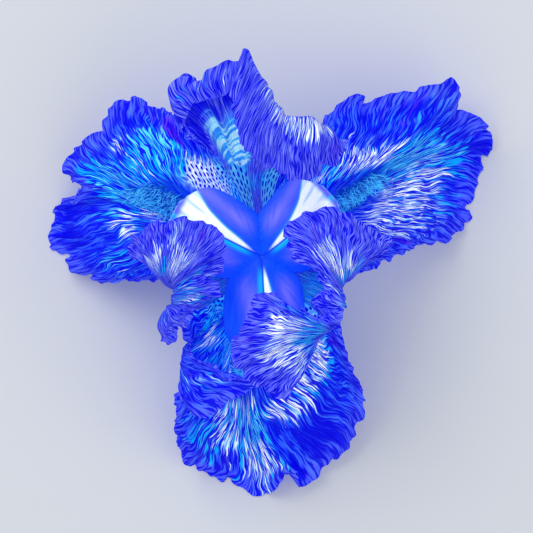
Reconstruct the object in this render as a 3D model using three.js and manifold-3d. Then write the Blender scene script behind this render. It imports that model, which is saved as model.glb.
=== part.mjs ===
// A single bearded iris bloom, picked just below its ovary and laid face up.
// Units are millimetres, +Z is up. Three drooping falls carry the bloom on the table, three domed
// standards arch over its heart, and three broad style arms roof the beards and the stamens.
// Everything is placed round the flower's own axis; the last lines move the whole bloom so that
// its origin is the middle of its footprint on the table.
import * as THREE from "three";
import { mergeVertices } from "three/addons/utils/BufferGeometryUtils.js";
import Module from "manifold-3d";

const wasm = await Module();
wasm.setup();

// ---- driving dimensions -------------------------------------------------------------------
const PETAL_THICKNESS = 0.65;
const THROAT_RADIUS = 6.5; // where the petals spring from the rim of the tube
const FALL_BASE_HALF_WIDTH = 3.2;
const STANDARD_BASE_HEIGHT = 43;
const STYLE_ARM_THICKNESS = 0.9;
const STYLE_ARM_SLIT = 0.45; // how far each style arm is set out from the axis
const BEARD_CLEARANCE = 1; // between the underside of a beard and the face of its fall
const BEARD_HAIR_ROWS = 17;
const NORMAL_REACH = 3.5; // along a crowded row, over which the normals of a blade are shared
const LEVEL_FADE_ROWS = 3; // over which a blade goes from level to its own normals

const degrees = (a) => (a * Math.PI) / 180;

// ---- curves and skins -----------------------------------------------------------------------

// Point at t on the smooth curve that passes through points at the given rising knots.
function curveAt(points, knots, t) {
  const last = knots.length - 1;
  let i = 0;
  while (i < last - 1 && t > knots[i + 1]) i++;
  const span = knots[i + 1] - knots[i];
  const s = (t - knots[i]) / span;
  const slope = (j, axis) => {
    const a = Math.max(j - 1, 0);
    const b = Math.min(j + 1, last);
    return (points[b][axis] - points[a][axis]) / (knots[b] - knots[a]);
  };
  const startWeight = 2 * s ** 3 - 3 * s ** 2 + 1;
  const startPull = (s ** 3 - 2 * s ** 2 + s) * span;
  const endPull = (s ** 3 - s ** 2) * span;
  return points[i].map(
    (value, axis) =>
      startWeight * value +
      startPull * slope(i, axis) +
      (1 - startWeight) * points[i + 1][axis] +
      endPull * slope(i + 1, axis),
  );
}

// Running distance along a row of points.
function runningLength(points) {
  const sums = [0];
  for (let i = 1; i < points.length; i++) {
    const step = Math.hypot(...points[i].map((value, axis) => value - points[i - 1][axis]));
    sums.push(sums[i - 1] + Math.max(step, 0.001));
  }
  return sums;
}

// Knots from 0 to 1 that follow the distances between the points.
function chordKnots(points) {
  const sums = runningLength(points);
  return sums.map((sum) => sum / sums[sums.length - 1]);
}

// A skin is a set of veins, functions of u from base (0) to margin (1), joined crosswise by a
// smooth curve at knots from 0 to 1. This is its point at u along and v across.
function skinPoint({ veins, knots }, u, v) {
  return curveAt(veins.map((vein) => vein(u)), knots, v);
}

// Grid of points on a skin. Rows crowd towards the margin, where the form is richest.
function skinGrid(skin, rows, columnsPerVein) {
  const crowding = 1.35;
  const grid = [];
  for (let i = 0; i <= rows; i++) {
    const u = 1 - (1 - i / rows) ** crowding;
    const across = skin.veins.map((vein) => vein(u));
    const row = [];
    for (let k = 0; k < skin.knots.length - 1; k++)
      for (let j = 0; j < columnsPerVein; j++) {
        const v = skin.knots[k] + ((skin.knots[k + 1] - skin.knots[k]) * j) / columnsPerVein;
        row.push(curveAt(across, skin.knots, v));
      }
    row.push(across[across.length - 1]);
    grid.push(row);
  }
  return grid;
}

// Unit normals of a grid. Where veins crowd together the normal is shared by all points within
// about a blade's thickness, so that the two faces of the blade stay parallel there.
function gridNormals(grid) {
  const clamp = (value, top) => Math.min(Math.max(value, 0), top);
  const lastRow = grid.length - 1;
  const lastColumn = grid[0].length - 1;
  const at = (i, j) => new THREE.Vector3(...grid[clamp(i, lastRow)][clamp(j, lastColumn)]);
  return grid.map((row, i) => {
    const facing = row.map((_, j) => {
      const along = at(i + 1, j).sub(at(i - 1, j));
      return along.cross(at(i, j + 1).sub(at(i, j - 1)));
    });
    const arc = runningLength(row);
    return row.map((_, j) => {
      const sum = new THREE.Vector3();
      facing.forEach((normal, k) => {
        const away = (arc[k] - arc[j]) / NORMAL_REACH;
        sum.addScaledVector(normal, Math.exp(-(away ** 2)));
      });
      return sum.normalize();
    });
  });
}

// Waves along the margin of a grid that die away towards its base.
function ruffled(grid, { wavelength, height, phase }) {
  const arc = runningLength(grid[grid.length - 1]);
  const normals = gridNormals(grid);
  return grid.map((row, i) =>
    row.map((point, j) => {
      const swell = (i / (grid.length - 1)) ** 3;
      const lift = height * swell * Math.sin((2 * Math.PI * arc[j]) / wavelength + phase);
      return new THREE.Vector3(...point).addScaledVector(normals[i][j], lift).toArray();
    }),
  );
}

// Closed blade of the given thickness about a grid. No point of it goes under the table. The first
// levelRows rows are thickened straight up and down, where a fan of veins starts out too crowded
// for its own normals.
function blade(grid, thickness, levelRows = 0) {
  const rows = grid.length;
  const columns = grid[0].length;
  const normals = gridNormals(grid);
  const positions = [];
  for (const side of [1, -1])
    for (let i = 0; i < rows; i++)
      for (let j = 0; j < columns; j++) {
        const level = Math.min(Math.max((levelRows - i) / LEVEL_FADE_ROWS + 1, 0), 1);
        const normal = normals[i][j].clone().lerp(new THREE.Vector3(0, 0, 1), level).normalize();
        const point = new THREE.Vector3(...grid[i][j]).addScaledVector(normal, (side * thickness) / 2);
        positions.push(point.x, point.y, Math.max(point.z, side > 0 ? thickness : 0));
      }
  const faces = [];
  const upper = (i, j) => i * columns + j;
  const lower = (i, j) => rows * columns + i * columns + j;
  const rim = (a, b, c, d) => faces.push(a, b, c, a, c, d);
  for (let i = 0; i < rows - 1; i++)
    for (let j = 0; j < columns - 1; j++) {
      // Both faces are split along the same diagonal.
      faces.push(upper(i, j), upper(i + 1, j), upper(i + 1, j + 1));
      faces.push(upper(i, j), upper(i + 1, j + 1), upper(i, j + 1));
      faces.push(lower(i, j), lower(i + 1, j + 1), lower(i + 1, j));
      faces.push(lower(i, j), lower(i, j + 1), lower(i + 1, j + 1));
    }
  const right = columns - 1;
  const tip = rows - 1;
  for (let i = 0; i < tip; i++) {
    rim(upper(i, 0), lower(i, 0), lower(i + 1, 0), upper(i + 1, 0));
    rim(upper(i + 1, right), lower(i + 1, right), lower(i, right), upper(i, right));
  }
  for (let j = 0; j < right; j++) {
    rim(upper(0, j + 1), lower(0, j + 1), lower(0, j), upper(0, j));
    rim(upper(tip, j), lower(tip, j), lower(tip, j + 1), upper(tip, j + 1));
  }
  const geometry = new THREE.BufferGeometry();
  geometry.setAttribute("position", new THREE.Float32BufferAttribute(positions, 3));
  geometry.setIndex(faces);
  geometry.computeVertexNormals();
  return geometry;
}

// ---- falls --------------------------------------------------------------------------------------
// Each fall has the bearing of its midrib, a sway of the midrib to the left of that bearing, the
// midrib's height along its length, and its margin, anticlockwise seen from above. Its veins leave
// the midrib like the ribs of a fan. Where a lobe of the blade is folded back over its face, a
// margin point also names the point of the fold that its vein passes.
// midrib: [distance from the axis, height]; margin: [x, y, height, fold].

const FALLS = {
  west: {
    bearing: 153.5,
    sway: 0,
    midrib: [[6.5, 41], [16, 45.5], [28, 48], [42, 46.5], [54, 41], [66, 31], [78, 18]],
    margin: [
      [-3.4, 8, 42.5], [-4, 17, 45.5], [-8.5, 26.5, 49.5], [-13.5, 35, 51], [-21, 41.5, 50],
      [-33.8, 52.4, 43], [-40.1, 54, 38], [-46, 58, 34], [-54.6, 53.4, 26], [-59.4, 45.9, 26],
      [-70.7, 36.3, 13],
      [-71.5, 29.5, 11], [-65.4, 25.6, 25], [-68.6, 20.8, 14], [-74.9, 18.4, -2], [-77.8, 6.5, -9],
      [-73.4, 1.5, -4], [-68.6, -5.2, 6], [-58.9, -8.6, 15], [-45.9, -8.1, 27], [-37.8, -8.6, 32],
      [-27, -7, 38], [-17, -3.4, 43], [-8.5, -0.2, 43],
    ],
    ruffle: { wavelength: 17, height: 1.3, phase: 1 },
  },
  south: {
    bearing: -91,
    sway: -6,
    midrib: [[6.5, 41], [16, 45.5], [28, 47], [42, 44], [54, 38], [66, 28], [80, 14]],
    margin: [
      [-4, -6.8, 42.5], [-10.5, -9.5, 43.5], [-18, -11.5, 45.5], [-25, -14.5, 49], [-28.5, -20, 52],
      [-28.5, -26, 53.5], [-27.3, -30.5, 54.3],
      [-23.5, -35.5, 57.5, [-27.6, -32.5, 55]], [-17, -40.5, 59.5, [-28, -34, 55]],
      [-9, -42.7, 59, [-28.2, -35.5, 54.5]], [-2.6, -44.7, 56.5, [-28.4, -37, 54]],
      [-6, -48.3, 54, [-28.6, -38.5, 53]], [-12, -51.5, 51.5, [-28.8, -40, 52]],
      [-19, -57, 47.5, [-29, -42.5, 50]], [-25, -55.5, 46, [-29.4, -45.5, 47.5]],
      [-30, -50, 42], [-31.2, -57, 33], [-31.2, -63.7, 24], [-28.8, -73.2, 12], [-24, -77.4, 3],
      [-15.6, -80.6, -4], [-6.1, -84.9, -5], [-0.8, -87.5, 0], [4.5, -84.9, 6], [8.2, -79.6, 17],
      [10.3, -78.5, 18], [16.1, -83.3, 7], [21.9, -77.4, 6], [26.6, -73.8, 8], [31.4, -69, 10],
      [34, -62.6, 15], [37.2, -54.7, 22], [36.7, -50.5, 26], [34, -42.6, 33], [29.8, -33.6, 39],
      [27.5, -22, 44.5], [22, -13.5, 45], [14, -8.8, 44.5], [7.5, -7, 43],
    ],
    ruffle: { wavelength: 16, height: 1.1, phase: 4 },
  },
  east: {
    bearing: 30,
    sway: 3.7,
    midrib: [[6.5, 41], [16, 45.5], [28, 48], [44, 46.5], [58, 41], [72, 31], [90, 14]],
    margin: [
      [8.5, -0.9, 43], [15.5, -4.5, 44], [24, -7, 42.5], [33, -6.5, 38], [40.2, -3.6, 34],
      [47.4, -0.6, 29], [53.6, 3.2, 23], [60.9, 4.7, 16], [70.6, 8, 8], [75.9, 16.2, -4],
      [78.5, 29.2, -9], [81.2, 36, -6], [84.1, 41.3, 4], [80.2, 49.5, 12], [73.9, 52.9, 17],
      [70, 54.4, 22], [71, 61, 28], [68.7, 64.2, 33], [63.8, 62, 33], [54.6, 60.6, 33],
      [47.4, 58.7, 36], [38.3, 56, 39], [34.4, 58.4, 43], [28, 54.4, 43], [22.3, 49.5, 46],
      [15.5, 38, 49.5], [9, 32.5, 49.5], [4, 25.5, 48], [3, 16.5, 45.5], [3.6, 8, 42.5],
    ],
    ruffle: { wavelength: 18, height: 1.3, phase: 2 },
  },
};

function fallSkin({ bearing, sway, midrib, margin }) {
  const angle = degrees(bearing);
  const ax = Math.cos(angle);
  const ay = Math.sin(angle);
  const distances = midrib.map(([along]) => along);
  const heights = midrib.map(([, height]) => [height]);
  const reach = distances[distances.length - 1];
  const swayAt = (along) => sway * Math.sin(Math.PI * Math.min(Math.max(along / reach, 0), 1));
  const midribHeight = (along) => curveAt(heights, distances, Math.min(along, reach))[0];
  // A vein keeps beside the midrib, then bows away from it to the target.
  const ribTo = ([x, y, z], spread) => {
    const endAlong = x * ax + y * ay;
    const endAside = y * ax - x * ay - swayAt(endAlong);
    const nearest = THROAT_RADIUS + 0.3 * (endAlong - THROAT_RADIUS);
    const leaves = Math.max(endAlong - 0.8 * Math.abs(endAside), nearest);
    const plan = new THREE.QuadraticBezierCurve(
      new THREE.Vector2(THROAT_RADIUS, spread),
      new THREE.Vector2(leaves, spread),
      new THREE.Vector2(endAlong, endAside),
    );
    const lift = z - midribHeight(endAlong);
    return (u) => {
      const local = plan.getPointAt(u);
      const aside = local.y + swayAt(local.x);
      return [local.x * ax - aside * ay, local.x * ay + aside * ax, midribHeight(local.x) + lift * u ** 2.5];
    };
  };
  const knots = chordKnots(margin.map((point) => point.slice(0, 3)));
  const veins = margin.map(([x, y, z, fold], k) => {
    const spread = (2 * knots[k] - 1) * FALL_BASE_HALF_WIDTH;
    if (!fold) return ribTo([x, y, z], spread);
    const path = [0, 0.35, 0.7, 1].map(ribTo(fold, spread));
    path.push([x, y, z]);
    const at = chordKnots(path);
    return (u) => curveAt(path, at, u);
  });
  return { veins, knots };
}

// ---- standards --------------------------------------------------------------------------------------
// Each standard rises in a narrow claw, then its veins fan over a dome and back towards the heart
// of the flower. claw: the middle and the end of its centre line, [x, y, height], and its
// half-width at the base, the middle and the end. veins: the points of each after the claw,
// anticlockwise seen from above, the last of them on the free margin.

const STANDARDS = {
  north: {
    bearing: 94,
    claw: { middle: [-1.4, 18, 49.5], end: [-2.4, 29, 60], halfWidths: [2.4, 4.4, 9] },
    veins: [
      [[14, 36, 66], [23, 40.5, 67], [30.9, 41.5, 66]],
      [[14, 40, 71], [24, 44.5, 75], [28.6, 36.3, 70]],
      [[13, 42, 75], [20.5, 47.5, 81], [23, 40, 83.5], [22, 30.6, 76]],
      [[11, 43, 77], [16, 49, 83.5], [16.5, 39, 87.5], [16.3, 27.3, 79]],
      [[8, 44, 78], [10, 49, 84], [9, 41, 89.5], [8, 28.6, 81]],
      [[5, 46, 78.5], [5.5, 53, 84.5], [2, 46, 90.5], [-0.6, 33.4, 85]],
      [[3, 48, 79], [2.8, 58.5, 85], [-2, 51, 90.5], [-6.5, 38.5, 88]],
      [[0, 51, 79], [-1, 65, 84], [-6, 57, 89.5], [-9.5, 49, 89]],
      [[-3, 52, 78], [-6.2, 72.5, 82], [-8, 66, 87], [-11.2, 56.5, 88.5]],
      [[-6, 52, 77], [-8, 69, 81], [-9.5, 64, 84.5], [-10.6, 59.5, 84]],
      [[-9, 50, 75], [-13.2, 68.5, 81], [-14, 63, 84], [-13.6, 56.5, 83]],
      [[-12, 48, 73], [-18, 65.5, 80.5], [-19, 61, 82.5], [-17, 55.6, 81.5]],
      [[-14, 46, 72], [-20.3, 62, 79], [-22.5, 58.5, 80.5], [-21, 55, 79.5]],
      [[-15, 46, 71], [-27, 64.5, 78.5], [-28.5, 60, 80], [-24, 53, 78]],
      [[-16.5, 43, 69], [-32, 58.5, 75], [-30.5, 53, 76], [-26, 50.5, 75]],
      [[-16.5, 39.5, 66.5], [-30, 50, 70], [-27.8, 45, 68]],
      [[-15.5, 36, 63.5], [-21.5, 40.5, 65], [-25, 43, 65.5]],
    ],
    ruffle: { wavelength: 15, height: 1, phase: 0 },
  },
  west: {
    bearing: 209,
    claw: { middle: [-15.5, -9.8, 49.5], end: [-24, -14, 59], halfWidths: [2.4, 4, 5] },
    veins: [
      [[-32.5, -11, 64], [-37.5, -6, 64], [-41.5, -2.2, 63.5]],
      [[-33.5, -10, 67], [-40, -3, 68.5], [-46, 2, 64]],
      [[-33.8, -9.5, 70], [-40.5, -1, 72], [-47.3, 5.6, 66]],
      [[-33.8, -9, 72], [-39, 0, 75], [-43.5, 8.2, 69]],
      [[-33.5, -9, 74], [-37, 1, 77], [-39.5, 11, 71]],
      [[-33, -9, 75], [-34, 2, 79], [-34.5, 12.8, 72]],
      [[-32.5, -9, 76], [-30.5, 2, 80], [-28.2, 13.2, 74]],
      [[-32, -9.5, 76], [-27, 1, 80.5], [-22.5, 13, 74]],
      [[-31.5, -10, 76.5], [-24, -1, 80.5], [-15.8, 9.9, 75]],
      [[-31, -10.5, 76.5], [-22.5, -3, 80], [-13.4, 4.5, 75.5]],
      [[-31, -11, 76], [-22.5, -5, 79], [-13.4, -2.4, 75]],
      [[-31, -12, 75.5], [-25, -8, 77], [-18.5, -6.6, 74]],
      [[-31, -13, 75], [-24, -10.5, 76.5], [-15.3, -9.5, 73.5]],
      [[-31.5, -14, 74], [-24.5, -13.5, 75.5], [-16, -14.5, 72]],
      [[-32, -15.5, 73], [-27, -15.5, 75], [-20.5, -15, 72.5]],
      [[-32.5, -17, 72], [-29, -19, 73.5], [-23.5, -18.7, 71]],
      [[-33, -18.5, 70], [-32, -23, 71.5], [-28.4, -25, 69]],
      [[-33.5, -18.5, 67.5], [-35, -25, 68.5], [-31.4, -30.4, 66]],
      [[-32.5, -18, 64], [-36.5, -24, 64.5], [-35.5, -29.5, 63]],
    ],
    ruffle: { wavelength: 14, height: 0.9, phase: 2 },
  },
  east: {
    bearing: -32,
    claw: { middle: [15, -9.5, 49.5], end: [24, -14, 59], halfWidths: [2.4, 5.2, 7.5] },
    veins: [
      [[20, -28.5, 66], [15, -39.5, 65], [9.2, -50.4, 60]],
      [[21, -27.5, 68], [13.5, -37, 69], [3.5, -49, 62]],
      [[22, -27, 70], [10, -34, 73], [-3.5, -44, 65]],
      [[23, -26.5, 71], [8, -31, 75], [-9.4, -39.5, 68]],
      [[24, -26, 72], [8, -27, 76], [-10.2, -29, 70]],
      [[24.5, -25.5, 72.5], [9, -23.5, 76.5], [-4.5, -21, 71]],
      [[25, -25, 73], [11, -20.5, 76.5], [-2.4, -12.6, 71]],
      [[25.5, -24.5, 73], [15, -20.5, 75.5], [5, -15.8, 72]],
      [[26, -24, 72.5], [18.5, -22, 74.5], [12.3, -18.8, 71]],
      [[27, -23, 72.5], [22.5, -23.5, 73.5], [18, -23.8, 70.5]],
      [[28.5, -20.5, 73], [25, -20.5, 74], [21.5, -20.5, 71]],
      [[29, -18.5, 73.5], [24.5, -17, 75], [18.8, -17, 71]],
      [[29.3, -17, 74], [25, -13.5, 76], [20.5, -11.5, 72]],
      [[29.3, -15.5, 74.5], [25, -10.5, 77], [20, -6.5, 72.5]],
      [[29, -14, 75], [23, -6.5, 78], [16.2, -2.6, 73]],
      [[28.5, -13, 76], [20, -3.5, 79], [10.5, 0.5, 75]],
      [[28, -12, 76.5], [18.3, -1, 80], [7.9, 6, 75.5]],
      [[27.8, -10.5, 77], [19, 3, 80.5], [8.6, 11.5, 75]],
      [[27.8, -9.5, 77.5], [21, 5, 80.5], [14.5, 15.2, 74]],
      [[28.2, -8.5, 78], [24, 6.5, 80.5], [20, 16.2, 73.5]],
      [[29.2, -7.5, 78], [28, 7, 79.5], [25.2, 18, 73]],
      [[30.5, -6.5, 77], [32.5, 6.5, 77.5], [32, 13.6, 70.5]],
      [[31.5, -6, 75], [37, 4.5, 74.5], [39.2, 10.2, 68.5]],
      [[32, -6, 72], [40, 2.5, 70.5], [44.5, 6.8, 66]],
      [[32, -7, 69], [38.5, 0, 67.5], [46.5, 3.5, 63.5]],
      [[31, -8.5, 66], [35, -4, 65.5], [39, -1.2, 64]],
    ],
    ruffle: { wavelength: 15, height: 1, phase: 5 },
  },
};

function standardSkin({ bearing, claw, veins }) {
  const angle = degrees(bearing);
  const base = [THROAT_RADIUS * Math.cos(angle), THROAT_RADIUS * Math.sin(angle), STANDARD_BASE_HEIGHT];
  const aside = [-Math.sin(angle), Math.cos(angle), 0];
  const clawShare = 0.3;
  const knots = chordKnots(veins.map((points) => points[points.length - 1]));
  // The claw is a channel: its edges stand higher than its middle.
  const clawPoint = (centre, row, spread) => {
    const half = claw.halfWidths[row];
    const rise = [0, 0, row * spread ** 2];
    return centre.map((value, axis) => value + aside[axis] * spread * half + rise[axis]);
  };
  const curves = veins.map((points, k) => {
    const spread = 2 * knots[k] - 1;
    const stem = [base, claw.middle, claw.end].map((centre, row) => clawPoint(centre, row, spread));
    const beyond = chordKnots([stem[2], ...points]).slice(1);
    const path = [...stem, ...points];
    const at = [0, clawShare / 2, clawShare, ...beyond.map((t) => clawShare + (1 - clawShare) * t)];
    return (u) => curveAt(path, at, u);
  });
  return { veins: curves, knots };
}

// ---- style arms ---------------------------------------------------------------------------------------
// Each style arm is a broad arched roof that starts at the axis. Its half-width and the height of
// its ridge are given along the longest arm, and its sides fall away from the ridge. An arm can
// swing to its left on its way out by the angle turn.

const STYLE_ARMS = {
  northwest: { bearing: 153.5, turn: 0, length: 34.6 },
  northeast: { bearing: 35, turn: 8, length: 32.4 },
  south: { bearing: -87.5, turn: 0, length: 34.6 },
};
const ARM_HALF_WIDTH = [[0, 0.2], [6.5, 10.5], [12.4, 13.4], [22, 14.4], [28, 13.2], [32, 8.8], [34.6, 3.6]];
const ARM_RIDGE = [[0, 57], [8, 60], [18, 61.5], [27, 60], [31.5, 58], [34.6, 60]];
const ARM_SIDE_DROP = 6.2;

function styleArmGrid({ bearing, turn, length }) {
  const rows = 9;
  const columns = 10;
  const profileAt = (profile, along) =>
    curveAt(profile.map(([, value]) => [value]), profile.map(([at]) => at), along)[0];
  const widest = Math.max(...ARM_HALF_WIDTH.map(([, half]) => half));
  const longest = ARM_RIDGE[ARM_RIDGE.length - 1][0];
  const grid = [];
  for (let i = 0; i <= rows; i++) {
    const along = (longest * i) / rows;
    const angle = degrees(bearing + (turn * i) / rows);
    const out = (length * i) / rows + STYLE_ARM_SLIT;
    const row = [];
    for (let j = 0; j <= columns; j++) {
      const aside = ((2 * j) / columns - 1) * profileAt(ARM_HALF_WIDTH, along);
      row.push([
        out * Math.cos(angle) - aside * Math.sin(angle),
        out * Math.sin(angle) + aside * Math.cos(angle),
        profileAt(ARM_RIDGE, along) - ARM_SIDE_DROP * (Math.abs(aside) / widest) ** 1.8,
      ]);
    }
    grid.push(row);
  }
  return grid;
}

// ---- beards -----------------------------------------------------------------------------------------
// A beard is a brush of stiff hairs along the midrib of a fall. Its slim core follows the face of
// the fall, and its three-sided hairs stand out of the core on all sides.

// across is the place of the midrib across the fall; from and to are distances from the axis.
const BEARDS = {
  west: { across: 0.455, from: 13, to: 50, halfWidth: 7 },
  south: { across: 0.55, from: 13, to: 46, halfWidth: 6.2 },
  east: { across: 0.496, from: 13, to: 52, halfWidth: 7 },
};

// Closed manifold of a geometry's triangles.
function solidOf(geometry) {
  const bare = geometry.clone();
  bare.deleteAttribute("normal");
  bare.deleteAttribute("uv");
  const merged = mergeVertices(bare, 0.0001);
  const vertProperties = new Float32Array(merged.getAttribute("position").array);
  const triVerts = new Uint32Array(merged.getIndex().array);
  return new wasm.Manifold(new wasm.Mesh({ numProp: 3, vertProperties, triVerts }));
}

function geometryOf(solid) {
  const mesh = solid.getMesh();
  const geometry = new THREE.BufferGeometry();
  geometry.setAttribute("position", new THREE.Float32BufferAttribute(mesh.vertProperties, 3));
  geometry.setIndex(Array.from(mesh.triVerts));
  geometry.computeVertexNormals();
  return geometry;
}

// Repeatable random numbers from 0 to 1.
function randomSource(seed) {
  let state = seed;
  return () => {
    state = (state * 1664525 + 1013904223) % 4294967296;
    return state / 4294967296;
  };
}

// Points and frames along the midrib of a fall, where its beard grows: ahead runs to the tip of the
// fall, and left is halfway from level to the slope of its face.
function midribFrames(fall, { across, from, to }, count) {
  const skin = fallSkin(fall);
  const angle = degrees(fall.bearing);
  const pointAt = (u, v) => new THREE.Vector3(...skinPoint(skin, u, v));
  const frames = [];
  for (let i = 0; i <= count; i++) {
    const wanted = from + ((to - from) * i) / count;
    let low = 0;
    let high = 1;
    for (let pass = 0; pass < 20; pass++) {
      const middle = (low + high) / 2;
      const point = pointAt(middle, across);
      if (point.x * Math.cos(angle) + point.y * Math.sin(angle) < wanted) low = middle;
      else high = middle;
    }
    const ahead = pointAt(low + 0.02, across).sub(pointAt(low, across)).normalize();
    const slope = pointAt(low, across + 0.06).sub(pointAt(low, across - 0.06)).normalize();
    const level = new THREE.Vector3(0, 0, 1).cross(ahead).normalize();
    const up = ahead.clone().cross(slope.add(level)).normalize();
    frames.push({ at: pointAt(low, across), ahead, up, left: up.clone().cross(ahead) });
  }
  return frames;
}

function beardCore(frames, lift) {
  const halfWidth = 1.9;
  const halfHeight = 0.7;
  const sides = 6;
  const last = frames.length - 1;
  const rings = frames.map((frame, i) => {
    const taper = 0.4 + 0.6 * Math.sin((Math.PI * i) / last) ** 0.5;
    return Array.from({ length: sides }, (_, k) => {
      const turn = (2 * Math.PI * k) / sides;
      return frame.at
        .clone()
        .addScaledVector(frame.up, lift + halfHeight * taper * Math.sin(turn))
        .addScaledVector(frame.left, halfWidth * taper * Math.cos(turn))
        .toArray();
    });
  });
  const faces = [];
  for (let i = 0; i < last; i++)
    for (let k = 0; k < sides; k++) {
      const next = (k + 1) % sides;
      faces.push(i * sides + k, i * sides + next, (i + 1) * sides + next);
      faces.push(i * sides + k, (i + 1) * sides + next, (i + 1) * sides + k);
    }
  for (let k = 1; k < sides - 1; k++) {
    faces.push(0, k + 1, k);
    faces.push(last * sides, last * sides + k, last * sides + k + 1);
  }
  const core = new THREE.BufferGeometry();
  core.setAttribute("position", new THREE.Float32BufferAttribute(rings.flat(2), 3));
  core.setIndex(faces);
  return core;
}

function beardGeometry(fall, beard, seed) {
  const random = randomSource(seed);
  const count = 12;
  const lift = PETAL_THICKNESS / 2 + BEARD_CLEARANCE + 0.7;
  const frames = midribFrames(fall, beard, count);
  const upright = new THREE.Vector3(0, 1, 0);
  let solid = solidOf(beardCore(frames, lift));
  for (let i = 0; i < BEARD_HAIR_ROWS; i++)
    for (const side of [-1, 0, 1]) {
      const place = (count * (i + 0.3 + 0.4 * random())) / BEARD_HAIR_ROWS;
      const before = frames[Math.floor(place)];
      const after = frames[Math.floor(place) + 1];
      const root = before.at
        .clone()
        .lerp(after.at, place % 1)
        .addScaledVector(before.up, lift)
        .addScaledVector(before.left, side * 0.6);
      const direction = before.up
        .clone()
        .addScaledVector(before.left, side * (1.1 + 0.4 * random()))
        .addScaledVector(before.ahead, 0.5 * random() + 0.1)
        .normalize();
      const reach = side === 0 ? 3.4 : beard.halfWidth;
      const length = reach * (0.95 + 0.25 * random());
      const hair = new THREE.ConeGeometry(0.45, length, 3, 1);
      hair.translate(0, length / 2, 0);
      hair.applyQuaternion(new THREE.Quaternion().setFromUnitVectors(upright, direction));
      hair.translate(root.x, root.y, root.z);
      solid = solid.add(solidOf(hair));
    }
  return geometryOf(solid);
}

// ---- tube, style column and stamens --------------------------------------------------------------------

const OVARY_PROFILE = [
  [0, 0.6], [2.6, 0.6], [2.8, 3], [4.3, 5], [5.4, 9], [5.6, 13], [4.8, 17], [3.4, 20],
  [3.1, 23], [3.3, 28], [4.0, 33], [5.2, 37.5], [6.1, 40], [5.5, 40], [4.3, 38.4], [0, 37.6],
];
const COLUMN_PROFILE = [[0, 38.2], [2.6, 38.7], [2.2, 44], [2.2, 50], [2.8, 53.5], [2.2, 55.2], [0, 55.7]];
const FILAMENT_PATH = [[5.4, 41], [7.6, 46.5], [10.5, 50.4], [14, 52.4]];
const FILAMENT_RADIUS = 0.65;
const ANTHER_SIZE = [11.5, 2.1, 1.3];
const ANTHER_CENTRE = [20.2, 53.6];
const STAMEN_BEARINGS = { west: 153.5, south: -94, east: 33 };

function turnedSolid(profile, sides) {
  const lathe = new THREE.LatheGeometry(
    profile.map(([radius, height]) => new THREE.Vector2(radius, height)),
    sides,
  );
  lathe.rotateX(Math.PI / 2);
  return geometryOf(solidOf(lathe));
}

function filamentSolid() {
  const points = FILAMENT_PATH.map(([out, height]) => new THREE.Vector3(out, 0, height));
  const path = new THREE.CatmullRomCurve3(points);
  const section = new THREE.Shape();
  section.absarc(0, 0, FILAMENT_RADIUS, 0, 2 * Math.PI);
  return new THREE.ExtrudeGeometry(section, { steps: 8, curveSegments: 3, extrudePath: path });
}

function antherSolid() {
  const pod = new THREE.SphereGeometry(0.5, 8, 8);
  pod.rotateZ(Math.PI / 2);
  pod.scale(...ANTHER_SIZE);
  pod.translate(ANTHER_CENTRE[0], 0, ANTHER_CENTRE[1]);
  return pod;
}

// ---- the bloom --------------------------------------------------------------------------------------

const paint = (color, roughness) => new THREE.MeshStandardMaterial({ color, roughness });
const fallPaint = paint(0x1c1ae8, 0.55);
const standardPaint = paint(0x4a3cf0, 0.55);
const stylePaint = paint(0x3f6bff, 0.4);
const beardPaint = paint(0x10a8d8, 0.8);
const stamenPaint = paint(0xbfe6f5, 0.7);
const ovaryPaint = paint(0x3f7f5a, 0.6);

const bloom = new THREE.Group();

function addMesh(name, geometry, material) {
  const mesh = new THREE.Mesh(geometry, material);
  mesh.name = name;
  bloom.add(mesh);
  return mesh;
}

addMesh("ovary_and_tube", turnedSolid(OVARY_PROFILE, 15), ovaryPaint);
addMesh("style_column", turnedSolid(COLUMN_PROFILE, 12), stylePaint);

Object.entries(FALLS).forEach(([name, fall], index) => {
  const grid = ruffled(skinGrid(fallSkin(fall), 9, 2), fall.ruffle);
  addMesh(`fall_${name}`, blade(grid, PETAL_THICKNESS, 2), fallPaint);
  addMesh(`beard_${name}`, beardGeometry(fall, BEARDS[name], 11 + index), beardPaint);
});

for (const [name, standard] of Object.entries(STANDARDS)) {
  const grid = ruffled(skinGrid(standardSkin(standard), 10, 2), standard.ruffle);
  addMesh(`standard_${name}`, blade(grid, PETAL_THICKNESS), standardPaint);
}

for (const [name, arm] of Object.entries(STYLE_ARMS))
  addMesh(`style_arm_${name}`, blade(styleArmGrid(arm), STYLE_ARM_THICKNESS), stylePaint);

for (const [name, bearing] of Object.entries(STAMEN_BEARINGS)) {
  addMesh(`filament_${name}`, filamentSolid(), stamenPaint).rotation.z = degrees(bearing);
  addMesh(`anther_${name}`, antherSolid(), stamenPaint).rotation.z = degrees(bearing);
}

// The origin is the middle of the bloom's footprint, on the table.
bloom.updateMatrixWorld(true);
const footprint = new THREE.Box3().setFromObject(bloom, true);
const middle = footprint.getCenter(new THREE.Vector3());
bloom.position.set(-middle.x, -middle.y, -footprint.min.z);

const part = new THREE.Group();
part.add(bloom);

export default part;
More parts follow.
